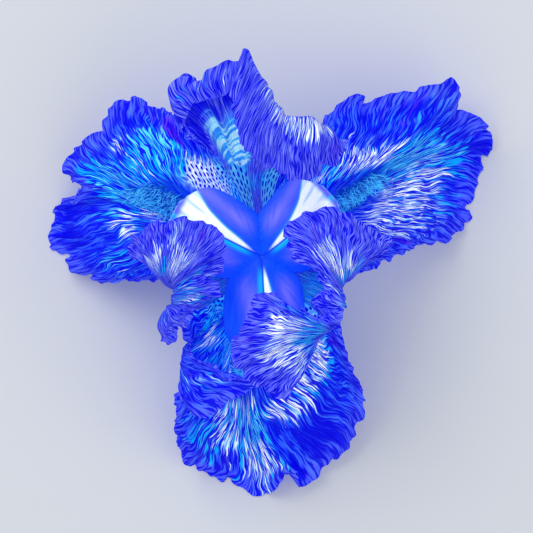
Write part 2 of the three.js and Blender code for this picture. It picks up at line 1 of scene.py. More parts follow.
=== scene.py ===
import math
import bpy
import numpy as np
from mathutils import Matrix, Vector


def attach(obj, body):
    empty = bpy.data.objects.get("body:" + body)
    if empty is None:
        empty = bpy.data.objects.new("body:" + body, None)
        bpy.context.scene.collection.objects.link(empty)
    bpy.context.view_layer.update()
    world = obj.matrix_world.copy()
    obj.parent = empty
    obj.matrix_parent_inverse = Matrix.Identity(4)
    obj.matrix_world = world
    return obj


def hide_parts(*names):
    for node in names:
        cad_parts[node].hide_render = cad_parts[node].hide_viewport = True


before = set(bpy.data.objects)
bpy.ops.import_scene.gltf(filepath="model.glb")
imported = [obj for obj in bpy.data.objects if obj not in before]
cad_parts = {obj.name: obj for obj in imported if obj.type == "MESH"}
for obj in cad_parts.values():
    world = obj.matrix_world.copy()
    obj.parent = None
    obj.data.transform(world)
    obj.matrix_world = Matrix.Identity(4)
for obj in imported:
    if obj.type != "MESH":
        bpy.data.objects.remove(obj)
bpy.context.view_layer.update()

# ---- studio ----------------------------------------------------------------------------------
# The bloom lies face up on a pale matt table under soft studio light, and the camera looks
# straight down at it from two metres, with the top standard towards the top of the picture.
# Lengths of the bloom are in millimetres round the flower's own axis; MM and AXIS place them.

MM = 0.001
AXIS = np.array([-3.15, 7.48, 0.0])  # the flower's axis in the part's frame
CAMERA_DISTANCE = 2.0
PICTURE_WIDTH = 0.192  # how much of the plane through the petals the picture takes in
LOOK_AT = (-1.53 * MM, 4.05 * MM, 30 * MM)
SENSOR_WIDTH = 36
SURROUND_COLOUR = (0.93, 0.96, 1.0, 1)
SURROUND_STRENGTH = 0.62
TABLE_REACH = 2.0
TABLE_DROP = 0.0004  # keeps the table top just clear of the tips that rest on it
TABLE_COLOUR = (0.72, 0.74, 0.77, 1)


class Paint:
    """Short ways to add and join the nodes of one shader tree."""

    def __init__(self, tree):
        self.tree = tree

    def add(self, kind, **settings):
        node = self.tree.nodes.new(kind)
        for key, value in settings.items():
            setattr(node, key, value)
        return node

    def feed(self, socket, value):
        if isinstance(value, bpy.types.NodeSocket):
            self.tree.links.new(value, socket)
        elif socket.type == "RGBA":
            socket.default_value = (*value, 1)
        else:
            socket.default_value = value

    def maths(self, operation, *values):
        node = self.add("ShaderNodeMath", operation=operation)
        for socket, value in zip(node.inputs, values):
            self.feed(socket, value)
        return node.outputs[0]

    def vectors(self, operation, *values):
        node = self.add("ShaderNodeVectorMath", operation=operation)
        for socket, value in zip(node.inputs, values):
            self.feed(socket, value)
        return node.outputs[0]

    def ranged(self, value, low, high):
        """0 at low and 1 at high, with a soft start and end."""
        node = self.add("ShaderNodeMapRange", interpolation_type="SMOOTHSTEP")
        for socket, given in zip(node.inputs, (value, low, high)):
            self.feed(socket, given)
        return node.outputs[0]

    def over(self, below, colour, amount):
        node = self.add("ShaderNodeMix", data_type="RGBA")
        self.feed(node.inputs["Factor"], amount)
        self.feed(node.inputs[6], below)
        self.feed(node.inputs[7], colour)
        return node.outputs[2]

    def mark(self, attribute):
        return self.add("ShaderNodeAttribute", attribute_name=attribute).outputs["Fac"]

    def noise(self, vector, detail, scale=1):
        node = self.add("ShaderNodeTexNoise")
        node.inputs["Scale"].default_value = scale
        node.inputs["Detail"].default_value = detail
        self.feed(node.inputs["Vector"], vector)
        return node.outputs

    def relief(self, shader, height, strength, distance):
        bump = self.add("ShaderNodeBump")
        bump.inputs["Strength"].default_value = strength
        bump.inputs["Distance"].default_value = distance
        self.feed(bump.inputs["Height"], height)
        self.feed(shader.inputs["Normal"], bump.outputs[0])


def new_material(name):
    """A new material, the Paint of its tree and its Principled shader."""
    material = bpy.data.materials.new(name)
    material.use_nodes = True
    return material, Paint(material.node_tree), material.node_tree.nodes["Principled BSDF"]


camera_data = bpy.data.cameras.new("camera")
camera_data.sensor_width = SENSOR_WIDTH
camera_data.lens = SENSOR_WIDTH * CAMERA_DISTANCE / PICTURE_WIDTH
camera_data.clip_start, camera_data.clip_end = 0.1, 20
camera = bpy.data.objects.new("camera", camera_data)
camera.location = (LOOK_AT[0], LOOK_AT[1], LOOK_AT[2] + CAMERA_DISTANCE)
bpy.context.scene.collection.objects.link(camera)
bpy.context.scene.camera = camera
bpy.context.scene.view_settings.view_transform = "Standard"

world = bpy.data.worlds.new("studio")
world.use_nodes = True
world.node_tree.nodes["Background"].inputs["Color"].default_value = SURROUND_COLOUR
world.node_tree.nodes["Background"].inputs["Strength"].default_value = SURROUND_STRENGTH
bpy.context.scene.world = world

for light_name, place, size, power in (
    ("key softbox", (-0.7, 0.8, 1.4), 1.3, 13),
    ("fill softbox", (1.0, -0.6, 1.2), 1.5, 4),
):
    light = bpy.data.lights.new(light_name, "AREA")
    light.size = size
    light.energy = power
    softbox = bpy.data.objects.new(light_name, light)
    softbox.location = place
    softbox.rotation_euler = (-Vector(place)).to_track_quat("-Z", "Y").to_euler()
    bpy.context.scene.collection.objects.link(softbox)

table_mesh = bpy.data.meshes.new("table")
table_corners = [
    (x * TABLE_REACH, y * TABLE_REACH, -TABLE_DROP) for x, y in ((-1, -1), (1, -1), (1, 1), (-1, 1))
]
table_mesh.from_pydata(table_corners, [], [(0, 1, 2, 3)])
table_top = bpy.data.objects.new("table", table_mesh)
bpy.context.scene.collection.objects.link(table_top)
table_finish, _, table_shader = new_material("pale table")
table_shader.inputs["Base Color"].default_value = TABLE_COLOUR
table_shader.inputs["Roughness"].default_value = 0.75
table_mesh.materials.append(table_finish)

# ---- falls -----------------------------------------------------------------------------------
# The three falls are thin velvety petals that arch out of the throat and droop to the table. Each
# is a fan of veins from a narrow haft to a ruffled margin; one lobe of the south fall is folded
# back over its face. They are stained a strong dark blue, with white and cyan strokes near the
# beards, and darker-blue streaks of painted shade lie in their hollows and folds.

THROAT_RADIUS = 6.5
FALL_BASE_HALF_WIDTH = 3.2
PETAL_THICKNESS = 0.5
MARGIN_THICKNESS = 0.22
PETAL_GLOW = 0.3  # emission strength of the coloured skins
PETAL_ROWS = 130
PETAL_COLUMNS = 340
ROW_CROWDING = 1.35  # rows crowd towards the margin
LOWEST_UPPER_FACE = 0.3  # where a tip lies on the table
PLAN_POINTS = 201  # samples along a vein seen from above

# bearing: degrees anticlockwise from +X; sway: how far the midrib bows to the left on its way out;
# midrib: [distance from the axis, height]; margin: [x, y, height, fold], anticlockwise from above,
# where fold is the point that a folded vein passes before it turns back.
FALLS = {
  "west": {
    "bearing": 153.5,
    "sway": 0,
    "midrib": [[6.5, 41], [16, 45.5], [28, 48], [42, 46.5], [54, 41], [66, 31], [78, 18]],
    "margin": [
      [-3.4, 8, 42.5], [-4, 17, 45.5], [-8.5, 26.5, 49.5], [-13.5, 35, 51], [-21, 41.5, 50],
      [-33.8, 52.4, 43], [-40.1, 54, 38], [-46, 58, 34], [-54.6, 53.4, 26], [-59.4, 45.9, 26],
      [-70.7, 36.3, 13],
      [-71.5, 29.5, 11], [-65.4, 25.6, 25], [-68.6, 20.8, 14], [-74.9, 18.4, -2], [-77.8, 6.5, -9],
      [-73.4, 1.5, -4], [-68.6, -5.2, 6], [-58.9, -8.6, 15], [-45.9, -8.1, 27], [-37.8, -8.6, 32],
      [-27, -7, 38], [-17, -3.4, 43], [-8.5, -0.2, 43],
    ],
    "ruffle": {"wavelength": 17, "height": 1.3, "phase": 1},
  },
  "south": {
    "bearing": -91,
    "sway": -6,
    "midrib": [[6.5, 41], [16, 45.5], [28, 47], [42, 44], [54, 38], [66, 28], [80, 14]],
    "margin": [
      [-4, -6.8, 42.5], [-10.5, -9.5, 43.5], [-18, -11.5, 45.5], [-25, -14.5, 49], [-28.5, -20, 52],
      [-28.5, -26, 53.5], [-27.3, -30.5, 54.3],
      [-23.5, -35.5, 57.5, [-27.6, -32.5, 55]], [-17, -40.5, 59.5, [-28, -34, 55]],
      [-9, -42.7, 59, [-28.2, -35.5, 54.5]], [-2.6, -44.7, 56.5, [-28.4, -37, 54]],
      [-6, -48.3, 54, [-28.6, -38.5, 53]], [-12, -51.5, 51.5, [-28.8, -40, 52]],
      [-19, -57, 47.5, [-29, -42.5, 50]], [-25, -55.5, 46, [-29.4, -45.5, 47.5]],
      [-30, -50, 42], [-31.2, -57, 33], [-31.2, -63.7, 24], [-28.8, -73.2, 12], [-24, -77.4, 3],
      [-15.6, -80.6, -4], [-6.1, -84.9, -5], [-0.8, -87.5, 0], [4.5, -84.9, 6], [8.2, -79.6, 17],
      [10.3, -78.5, 18], [16.1, -83.3, 7], [21.9, -77.4, 6], [26.6, -73.8, 8], [31.4, -69, 10],
      [34, -62.6, 15], [37.2, -54.7, 22], [36.7, -50.5, 26], [34, -42.6, 33], [29.8, -33.6, 39],
      [27.5, -22, 44.5], [22, -13.5, 45], [14, -8.8, 44.5], [7.5, -7, 43],
    ],
    "ruffle": {"wavelength": 16, "height": 1.1, "phase": 4},
  },
  "east": {
    "bearing": 30,
    "sway": 3.7,
    "midrib": [[6.5, 41], [16, 45.5], [28, 48], [44, 46.5], [58, 41], [72, 31], [90, 14]],
    "margin": [
      [8.5, -0.9, 43], [15.5, -4.5, 44], [24, -7, 42.5], [33, -6.5, 38], [40.2, -3.6, 34],
      [47.4, -0.6, 29], [53.6, 3.2, 23], [60.9, 4.7, 16], [70.6, 8, 8], [75.9, 16.2, -4],
      [78.5, 29.2, -9], [81.2, 36, -6], [84.1, 41.3, 4], [80.2, 49.5, 12], [73.9, 52.9, 17],
      [70, 54.4, 22], [71, 61, 28], [68.7, 64.2, 33], [63.8, 62, 33], [54.6, 60.6, 33],
      [47.4, 58.7, 36], [38.3, 56, 39], [34.4, 58.4, 43], [28, 54.4, 43], [22.3, 49.5, 46],
      [15.5, 38, 49.5], [9, 32.5, 49.5], [4, 25.5, 48], [3, 16.5, 45.5], [3.6, 8, 42.5],
    ],
    "ruffle": {"wavelength": 18, "height": 1.3, "phase": 2},
  },
}


def smooth_curve(points, knots, places):
    """Points at places on the smooth curve through points at rising knots."""
    points, knots, places = (np.asarray(given, float) for given in (points, knots, places))
    last = len(knots) - 1
    before = np.maximum(np.arange(last + 1) - 1, 0)
    after = np.minimum(np.arange(last + 1) + 1, last)
    shape = (-1,) + (1,) * (points.ndim - 1)
    slopes = (points[after] - points[before]) / (knots[after] - knots[before]).reshape(shape)
    i = np.clip(np.searchsorted(knots, places) - 1, 0, last - 1)
    span = (knots[i + 1] - knots[i]).reshape(shape)
    s = (places - knots[i]).reshape(shape) / span
    start = 2 * s**3 - 3 * s**2 + 1
    pulls = (s**3 - 2 * s**2 + s) * span * slopes[i] + (s**3 - s**2) * span * slopes[i + 1]
    return start * points[i] + (1 - start) * points[i + 1] + pulls


def arc_length(points):
    """Running distance along a row of points."""
    steps = np.linalg.norm(np.diff(np.asarray(points, float), axis=0), axis=-1)
    return np.concatenate([[0.0], np.cumsum(np.maximum(steps, 0.001))])


def chord_knots(points):
    sums = arc_length(points)
    return sums / sums[-1]


def fall_veins(fall, places):
    """Points of each vein at places from base (0) to margin (1), and the veins' knots across."""
    bearing = math.radians(fall["bearing"])
    ahead = np.array([math.cos(bearing), math.sin(bearing)])
    left = np.array([-ahead[1], ahead[0]])
    distances, heights = np.array(fall["midrib"], float).T

    def sway(distance):
        return fall["sway"] * np.sin(np.pi * np.clip(distance / distances[-1], 0, 1))

    def midrib_height(distance):
        inside = np.minimum(np.atleast_1d(distance), distances[-1])
        return smooth_curve(heights[:, None], distances, inside)[:, 0]

    def rib_to(target, spread, along):
        end_ahead = float(np.dot(target[:2], ahead))
        end_aside = float(np.dot(target[:2], left)) - float(sway(end_ahead))
        nearest = THROAT_RADIUS + 0.3 * (end_ahead - THROAT_RADIUS)
        leaves = max(end_ahead - 0.8 * abs(end_aside), nearest)
        s = np.linspace(0, 1, PLAN_POINTS)[:, None]
        corners = np.array([[THROAT_RADIUS, spread], [leaves, spread], [end_ahead, end_aside]])
        plan = (1 - s) ** 2 * corners[0] + 2 * s * (1 - s) * corners[1] + s**2 * corners[2]
        x, y = (np.interp(along, chord_knots(plan), plan[:, k]) for k in (0, 1))
        lift = target[2] - midrib_height(end_ahead)[0]
        flat = x[:, None] * ahead + (y + sway(x))[:, None] * left
        return np.column_stack([flat, midrib_height(x) + lift * np.asarray(along) ** 2.5])

    knots = chord_knots([point[:3] for point in fall["margin"]])
    veins = []
    for point, knot in zip(fall["margin"], knots):
        spread = (2 * knot - 1) * FALL_BASE_HALF_WIDTH
        if len(point) == 3:
            veins.append(rib_to(point, spread, places))
        else:
            path = [*rib_to(point[3], spread, np.array([0, 0.35, 0.7, 1])), point[:3]]
            veins.append(smooth_curve(path, chord_knots(path), places))
    return np.array(veins), knots


def patchy(x, y, seed):
    """Smooth random values from 0 to 1 over a plane."""
    table = np.random.default_rng(seed).random((61, 67))
    i, j = np.floor(x).astype(int), np.floor(y).astype(int)
    s, t = x - i, y - j
    s, t = s * s * (3 - 2 * s), t * t * (3 - 2 * t)
    corner = [[table[(i + a) % 61, (j + b) % 67] for b in (0, 1)] for a in (0, 1)]
    low = corner[0][0] * (1 - s) + corner[1][0] * s
    high = corner[0][1] * (1 - s) + corner[1][1] * s
    return low * (1 - t) + high * t


def step_between(low, high, value):
    t = np.clip((value - low) / (high - low), 0, 1)
    return t * t * (3 - 2 * t)


def sheet_normals(grid, reach=0.8):
    """Unit normals of a grid, shared along its rows within reach, so that thin folds stay whole."""
    facing = np.cross(np.gradient(grid, axis=0), np.gradient(grid, axis=1))
    shared = np.empty_like(facing)
    for row, vectors in enumerate(facing):
        arc = arc_length(grid[row])
        weight = np.exp(-(((arc[:, None] - arc[None, :]) / reach) ** 2))
        shared[row] = weight @ vectors
    return shared / np.maximum(np.linalg.norm(shared, axis=2, keepdims=True), 1e-9)


# Pleats and frills of a petal: wavelength and height in mm, and how fast they grow to the margin.
FRILLS = ((9.5, 0.9, 2.6), (5.6, 0.65, 4), (3.3, 0.2, 5), (2.1, 0.08, 4))


def petal_sheet(veins_of, shape, ruffle_seed, ragged=0.2, frilled=1.0):
    """Middle surface of a petal: the fan of veins with its ruffles, frills and ragged margin."""
    rank = np.linspace(0, 1, PETAL_ROWS)
    along = 1 - (1 - rank) ** ROW_CROWDING
    across = np.linspace(0, 1, PETAL_COLUMNS)
    veins, knots = veins_of(shape, along)
    grid = smooth_curve(veins, knots, across).transpose(1, 0, 2)
    arc = arc_length(grid[-1])
    waves = shape["ruffle"]
    swing = np.sin(2 * np.pi * arc / waves["wavelength"] + waves["phase"])
    lift = waves["height"] * rank[:, None] ** 3 * swing
    grid = grid + sheet_normals(grid, 3) * lift[:, :, None]
    for k, (wavelength, height, power) in enumerate(FRILLS):
        wander = 5 * patchy(arc / (2.5 * wavelength), 3.3 * rank[:, None] + k, ruffle_seed + k)
        swing = np.sin(2 * np.pi * arc / wavelength + wander)
        amount = patchy(arc / (1.7 * wavelength) + 9, 1.5 * rank[:, None] + 5 + k, ruffle_seed + 10 + k)
        lift = frilled * height * (0.3 + 1.2 * amount) * swing * rank[:, None] ** power
        grid = grid + sheet_normals(grid, 1.2) * lift[:, :, None]
    outward = np.gradient(grid, axis=0)
    outward /= np.maximum(np.linalg.norm(outward, axis=2, keepdims=True), 1e-9)
    level = 0 * arc
    notches = patchy(arc / 1.6, level + 0.5, ruffle_seed + 30) - 0.5
    notches += 0.6 * patchy(arc / 0.7, level + 2.5, ruffle_seed + 31) - 0.3
    grid = grid + outward * (ragged * notches * rank[:, None] ** 14)[:, :, None]
    return grid, across[None, :] + 0 * along[:, None], along[:, None] + 0 * across[None, :]


def closed_blade(name, grid, thickness, across, along, marks):
    """Mesh of a closed blade about a grid, with its own UV map (across, along) and colour marks.
    marks maps a name to its upper and lower values over the grid."""
    rows, columns = grid.shape[:2]
    half = sheet_normals(grid) * (np.broadcast_to(thickness, (rows, columns))[:, :, None] / 2)
    upper, lower = grid + half, grid - half
    lower[:, :, 2] = np.maximum(lower[:, :, 2], 0)
    upper[:, :, 2] = np.maximum(upper[:, :, 2], LOWEST_UPPER_FACE)
    verts = (np.concatenate([upper.reshape(-1, 3), lower.reshape(-1, 3)]) + AXIS) * MM
    top = np.arange(rows * columns).reshape(rows, columns)
    under = top + rows * columns
    quads = [
        np.stack([top[:-1, :-1], top[1:, :-1], top[1:, 1:], top[:-1, 1:]], -1).reshape(-1, 4),
        np.stack([under[:-1, :-1], under[:-1, 1:], under[1:, 1:], under[1:, :-1]], -1).reshape(-1, 4),
        np.stack([top[:-1, 0], under[:-1, 0], under[1:, 0], top[1:, 0]], -1),
        np.stack([top[1:, -1], under[1:, -1], under[:-1, -1], top[:-1, -1]], -1),
        np.stack([top[0, 1:], under[0, 1:], under[0, :-1], top[0, :-1]], -1),
        np.stack([top[-1, :-1], under[-1, :-1], under[-1, 1:], top[-1, 1:]], -1),
    ]
    faces = np.concatenate(quads)
    mesh = bpy.data.meshes.new(name)
    mesh.from_pydata(verts.tolist(), [], faces.tolist())
    mesh.polygons.foreach_set("use_smooth", np.ones(len(faces), bool))
    corners = np.empty(len(faces) * 4, int)
    mesh.loops.foreach_get("vertex_index", corners)
    place = np.stack([across.ravel(), along.ravel()], -1)
    place = np.concatenate([place, place])
    uv = mesh.uv_layers.new(name="petal")
    uv.data.foreach_set("uv", place[corners].ravel())
    for mark, sides in marks.items():
        values = [np.broadcast_to(side, (rows, columns)).ravel() for side in sides]
        layer = mesh.attributes.new(mark, "FLOAT", "POINT")
        layer.data.foreach_set("value", np.concatenate(values).astype(np.float32))
    mesh.update()
    return mesh


def new_piece(name, mesh, finish, node):
    """A finished piece at the origin that stands for one node of the part."""
    piece = bpy.data.objects.new(name, mesh)
    bpy.context.scene.collection.objects.link(piece)
    mesh.materials.append(finish)
    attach(piece, "root")
    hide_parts(node)


def patches(across, along, places):
    """Sum of soft-edged patches: (across, along, half across, half along, amount)."""
    total = np.zeros_like(across)
    for at, up, half_across, half_along, amount in places:
        apart = ((across - at) / half_across) ** 2 + ((along - up) / half_along) ** 2
        total += amount * np.exp(-(apart**1.5))
    return np.clip(total, 0, 1.3)


# Where each mark is strong on a fall, as patches. White, cyan and violet are streaks, and the dark-blue
# streaks are painted shade in hollows and folds; dotted is the dashed haft, bed is the ground under the
# beard, bands run across the veins and net joins them.
MARKS = ("white", "cyan", "violet", "painted_shade", "dotted", "bed", "bands", "net")
FALL_MARKS = {
    "west": {
        "white": [
            (0.16, 0.67, 0.05, 0.17, 1.3), (0.17, 0.54, 0.06, 0.12, 1.3), (0.33, 0.84, 0.03, 0.08, 0.8),
            (0.62, 0.47, 0.04, 0.10, 1.3), (0.67, 0.62, 0.04, 0.09, 1), (0.43, 0.68, 0.05, 0.09, 0.6),
            (0.52, 0.86, 0.02, 0.07, 0.6), (0.31, 0.64, 0.06, 0.12, 0.8), (0.78, 0.80, 0.03, 0.08, 0.5),
        ],
        "cyan": [
            (0.35, 0.64, 0.16, 0.17, 1), (0.25, 0.72, 0.06, 0.18, 1), (0.52, 0.66, 0.07, 0.22, 1),
            (0.65, 0.62, 0.07, 0.16, 1), (0.42, 0.82, 0.08, 0.13, 0.8), (0.50, 0.84, 0.05, 0.13, 0.8),
            (0.76, 0.78, 0.07, 0.15, 0.7), (0.10, 0.80, 0.08, 0.22, 0.7), (0.88, 0.8, 0.05, 0.15, 0.5),
        ],
        "violet": [
            (0.21, 0.86, 0.04, 0.14, 1.1), (0.27, 0.92, 0.03, 0.10, 0.7), (0.24, 0.55, 0.04, 0.08, 0.7),
            (0.58, 0.42, 0.03, 0.06, 0.5), (0.86, 0.86, 0.05, 0.10, 0.5),
        ],
        # painted shade: darker-blue streaks in the hollows and folds
        "painted_shade": [
            (0.30, 0.94, 0.03, 0.10, 0.6), (0.68, 0.86, 0.07, 0.13, 0.8), (0.48, 0.96, 0.05, 0.07, 0.6),
            (0.62, 0.94, 0.04, 0.09, 0.6), (0.27, 0.79, 0.02, 0.10, 0.5),
        ],
        "dotted": [(0.13, 0.58, 0.10, 0.16, 1.1), (0.06, 0.74, 0.08, 0.24, 1.2)],
        "bed": [(0.41, 0.46, 0.17, 0.15, 1.1)],
    },
    "south": {
        "white": [
            (0.22, 0.45, 0.10, 0.07, 1.3), (0.15, 0.68, 0.02, 0.08, 0.8), (0.43, 0.46, 0.07, 0.07, 1.1),
            (0.47, 0.72, 0.05, 0.15, 1), (0.56, 0.84, 0.07, 0.15, 1.2), (0.62, 0.88, 0.03, 0.09, 1.2),
            (0.73, 0.68, 0.04, 0.09, 1.2), (0.80, 0.65, 0.08, 0.09, 1.3), (0.86, 0.72, 0.04, 0.1, 1.1),
            (0.24, 0.80, 0.03, 0.11, 0.5), (0.94, 0.75, 0.02, 0.10, 0.6), (0.57, 0.60, 0.09, 0.07, 0.9),
        ],
        "cyan": [
            (0.42, 0.47, 0.08, 0.07, 1), (0.55, 0.66, 0.12, 0.16, 1), (0.50, 0.82, 0.12, 0.18, 0.9),
            (0.62, 0.80, 0.06, 0.19, 0.9), (0.78, 0.68, 0.11, 0.10, 1), (0.10, 0.62, 0.06, 0.2, 1.2),
            (0.87, 0.74, 0.05, 0.13, 1), (0.28, 0.44, 0.20, 0.12, 1.2), (0.33, 0.62, 0.04, 0.07, 1),
            (0.24, 0.82, 0.06, 0.16, 0.6),
        ],
        "violet": [
            (0.45, 0.72, 0.04, 0.10, 0.6), (0.25, 0.82, 0.04, 0.11, 0.6), (0.19, 0.51, 0.05, 0.04, 0.4),
            (0.88, 0.88, 0.04, 0.09, 0.5), (0.60, 0.74, 0.03, 0.07, 0.4),
        ],
        # painted shade: darker-blue streaks in the hollows and folds
        "painted_shade": [
            (0.74, 0.88, 0.05, 0.13, 1.2), (0.82, 0.86, 0.03, 0.11, 0.7), (0.66, 0.69, 0.02, 0.13, 0.6),
            (0.19, 0.76, 0.03, 0.09, 0.6), (0.67, 0.93, 0.02, 0.06, 1.3),
        ],
        "dotted": [(0.06, 0.42, 0.06, 0.2, 1.2), (0.92, 0.42, 0.11, 0.32, 1.3)],
        "bed": [(0.5, 0.42, 0.13, 0.14, 1.1)],
    },
    "east": {
        "white": [
            (0.22, 0.74, 0.03, 0.17, 1), (0.28, 0.60, 0.05, 0.14, 1.1), (0.34, 0.68, 0.05, 0.2, 1.1),
            (0.39, 0.78, 0.03, 0.13, 0.9), (0.47, 0.64, 0.05, 0.13, 0.7), (0.68, 0.57, 0.07, 0.10, 1.2),
            (0.74, 0.66, 0.03, 0.10, 1.1), (0.78, 0.48, 0.03, 0.06, 1.2), (0.63, 0.61, 0.03, 0.11, 0.8),
            (0.83, 0.5, 0.03, 0.06, 0.8),
        ],
        "cyan": [
            (0.50, 0.62, 0.14, 0.16, 1), (0.56, 0.73, 0.06, 0.17, 1), (0.70, 0.57, 0.10, 0.13, 1),
            (0.78, 0.50, 0.05, 0.10, 1), (0.35, 0.76, 0.10, 0.2, 0.8), (0.45, 0.81, 0.06, 0.15, 0.8),
            (0.92, 0.84, 0.04, 0.15, 0.7), (0.68, 0.82, 0.05, 0.14, 0.6),
        ],
        "violet": [
            (0.30, 0.70, 0.08, 0.20, 0.7), (0.20, 0.90, 0.05, 0.11, 0.7), (0.69, 0.86, 0.07, 0.13, 0.7),
            (0.38, 0.58, 0.04, 0.11, 0.5), (0.65, 0.52, 0.03, 0.06, 0.5),
        ],
        # painted shade: darker-blue streaks in the hollows and folds
        "painted_shade": [
            (0.46, 0.94, 0.05, 0.08, 1), (0.64, 0.77, 0.04, 0.11, 0.7), (0.26, 0.89, 0.03, 0.09, 0.4),
            (0.56, 0.94, 0.03, 0.07, 0.6),
        ],
        "dotted": [(0.95, 0.5, 0.07, 0.32, 1.3)],
        "bed": [(0.49, 0.41, 0.16, 0.15, 1.1)],
        "net": [
            (0.27, 0.68, 0.09, 0.22, 0.9), (0.40, 0.66, 0.07, 0.16, 0.7), (0.70, 0.62, 0.08, 0.13, 0.6),
            (0.50, 0.72, 0.07, 0.10, 0.4),
        ],
    },
}


def vein_pattern():
    """Node group: streaks, fine veins, a network of veins and dashes that follow a petal's veins,
    and bands across them. Place is (across, along) from 0 to 1, and Lanes sets how many streaks
    lie side by side."""
    group = bpy.data.node_groups.new("petal veins", "ShaderNodeTree")
    face = group.interface
    face.new_socket("Place", in_out="INPUT", socket_type="NodeSocketVector")
    for label, value in (("Lanes", 80.0), ("Dash Lanes", 60.0), ("Dash Rows", 17.0)):
        face.new_socket(label, in_out="INPUT", socket_type="NodeSocketFloat").default_value = value
    for label in ("Streaks", "Second Streaks", "Third Streaks", "Fine", "Bands", "Network", "Dashes"):
        face.new_socket(label, in_out="OUTPUT", socket_type="NodeSocketFloat")
    paint = Paint(group)
    entry = paint.add("NodeGroupInput")
    leave = paint.add("NodeGroupOutput")

    def drift(place, scale, amount):
        noise = paint.noise(paint.vectors("MULTIPLY", place, (*scale, 1)), detail=1)
        centred = paint.vectors("SUBTRACT", noise["Color"], (0.5, 0.5, 0.5))
        return paint.vectors("MULTIPLY", centred, (*amount, 0))

    place = entry.outputs["Place"]
    eased = paint.vectors("ADD", place, drift(place, (8, 4), (0.06, 0.06)))
    bent = paint.vectors("ADD", eased, drift(place, (30, 15), (0.009, 0.014)))
    split = paint.add("ShaderNodeSeparateXYZ")
    paint.feed(split.inputs[0], bent)
    lanes = paint.add("ShaderNodeCombineXYZ")
    paint.feed(lanes.inputs[0], paint.maths("MULTIPLY", split.outputs[0], entry.outputs["Lanes"]))
    paint.feed(lanes.inputs[1], split.outputs[1])

    def stretched(lane_scale, along_scale, shift):
        """Noise drawn out along the veins, from 0 to 1."""
        scaled = paint.vectors("MULTIPLY", lanes.outputs[0], (lane_scale, along_scale, 1))
        noise = paint.noise(paint.vectors("ADD", scaled, (0, 0, shift)), detail=1)
        spread = paint.add("ShaderNodeMapRange")
        for socket, value in zip(spread.inputs, (noise[0], 0.25, 0.75)):
            paint.feed(socket, value)
        return spread.outputs[0]

    # Near the base the veins crowd together, so fewer of them are drawn there.
    outer = paint.ranged(split.outputs[1], 0.3, 0.6)

    def branching(lane_scale, along_scale, shift):
        few = stretched(0.45 * lane_scale, along_scale, shift)
        many = stretched(lane_scale, along_scale, shift + 3)
        mix = paint.add("ShaderNodeMix", data_type="FLOAT")
        for socket, value in ((mix.inputs["Factor"], outer), (mix.inputs[2], few), (mix.inputs[3], many)):
            paint.feed(socket, value)
        return mix.outputs[0]

    paint.feed(leave.inputs["Streaks"], branching(2.1, 5.5, 0))
    paint.feed(leave.inputs["Second Streaks"], branching(1.7, 5, 7))
    paint.feed(leave.inputs["Third Streaks"], branching(1, 5, 13))
    paint.feed(leave.inputs["Fine"], branching(4.6, 12, 21))
    bands = paint.noise(paint.vectors("MULTIPLY", eased, (5, 46, 1)), detail=0)
    paint.feed(leave.inputs["Bands"], paint.ranged(bands[0], 0.3, 0.7))
    ridge = paint.maths("ABSOLUTE", paint.maths("MULTIPLY_ADD", branching(1.1, 9, 30), 2, -1))
    paint.feed(leave.inputs["Network"], paint.ranged(ridge, 0.26, 0.04))

    lane = paint.maths("MULTIPLY", split.outputs[0], entry.outputs["Dash Lanes"])
    jitter = paint.add("ShaderNodeTexWhiteNoise", noise_dimensions="1D")
    paint.feed(jitter.inputs["W"], paint.maths("FLOOR", lane))
    row = paint.maths("MULTIPLY", split.outputs[1], entry.outputs["Dash Rows"])
    row = paint.maths("ADD", row, jitter.outputs[0])
    beside = paint.maths("ABSOLUTE", paint.maths("SUBTRACT", paint.maths("FRACT", lane), 0.5))
    within = paint.maths("ABSOLUTE", paint.maths("SUBTRACT", paint.maths("FRACT", row), 0.5))
    shape = paint.maths("ADD", paint.maths("POWER", paint.maths("MULTIPLY", beside, 3.4), 2),
                        paint.maths("POWER", paint.maths("MULTIPLY", within, 2.5), 2))
    paint.feed(leave.inputs["Dashes"], paint.ranged(shape, 1.1, 0.6))
    return group


petal_veins = vein_pattern()

# Colours are linear.
VEIN_BLUE = (0.0, 0.0, 0.68)
# Dark blue of the painted shade in hollows and folds, and of the fine veins in pale zones.
SHADE_AND_VEIN_BLUE = (0.0, 0.0, 0.78)
LAVENDER = (0.13, 0.15, 0.97)
VIOLET = (0.12, 0.0, 0.78)
CYAN = (0.0, 0.40, 0.97)
PALE_CYAN = (0.12, 0.74, 1.0)
WHITE = (0.92, 1.0, 1.0)
PALE_LAVENDER = (0.26, 0.42, 1.0)
TEAL = (0.0, 0.11, 0.52)
DASH_BLUE = (0.0, 0.0, 0.62)


def glowing(paint, shader, colour, roughness, specular):
    """Skin of one changing colour that also glows faintly with it."""
    paint.feed(shader.inputs["Base Color"], colour)
    paint.feed(shader.inputs["Emission Color"], colour)
    shader.inputs["Emission Strength"].default_value = PETAL_GLOW
    shader.inputs["Roughness"].default_value = roughness
    shader.inputs["Specular IOR Level"].default_value = specular


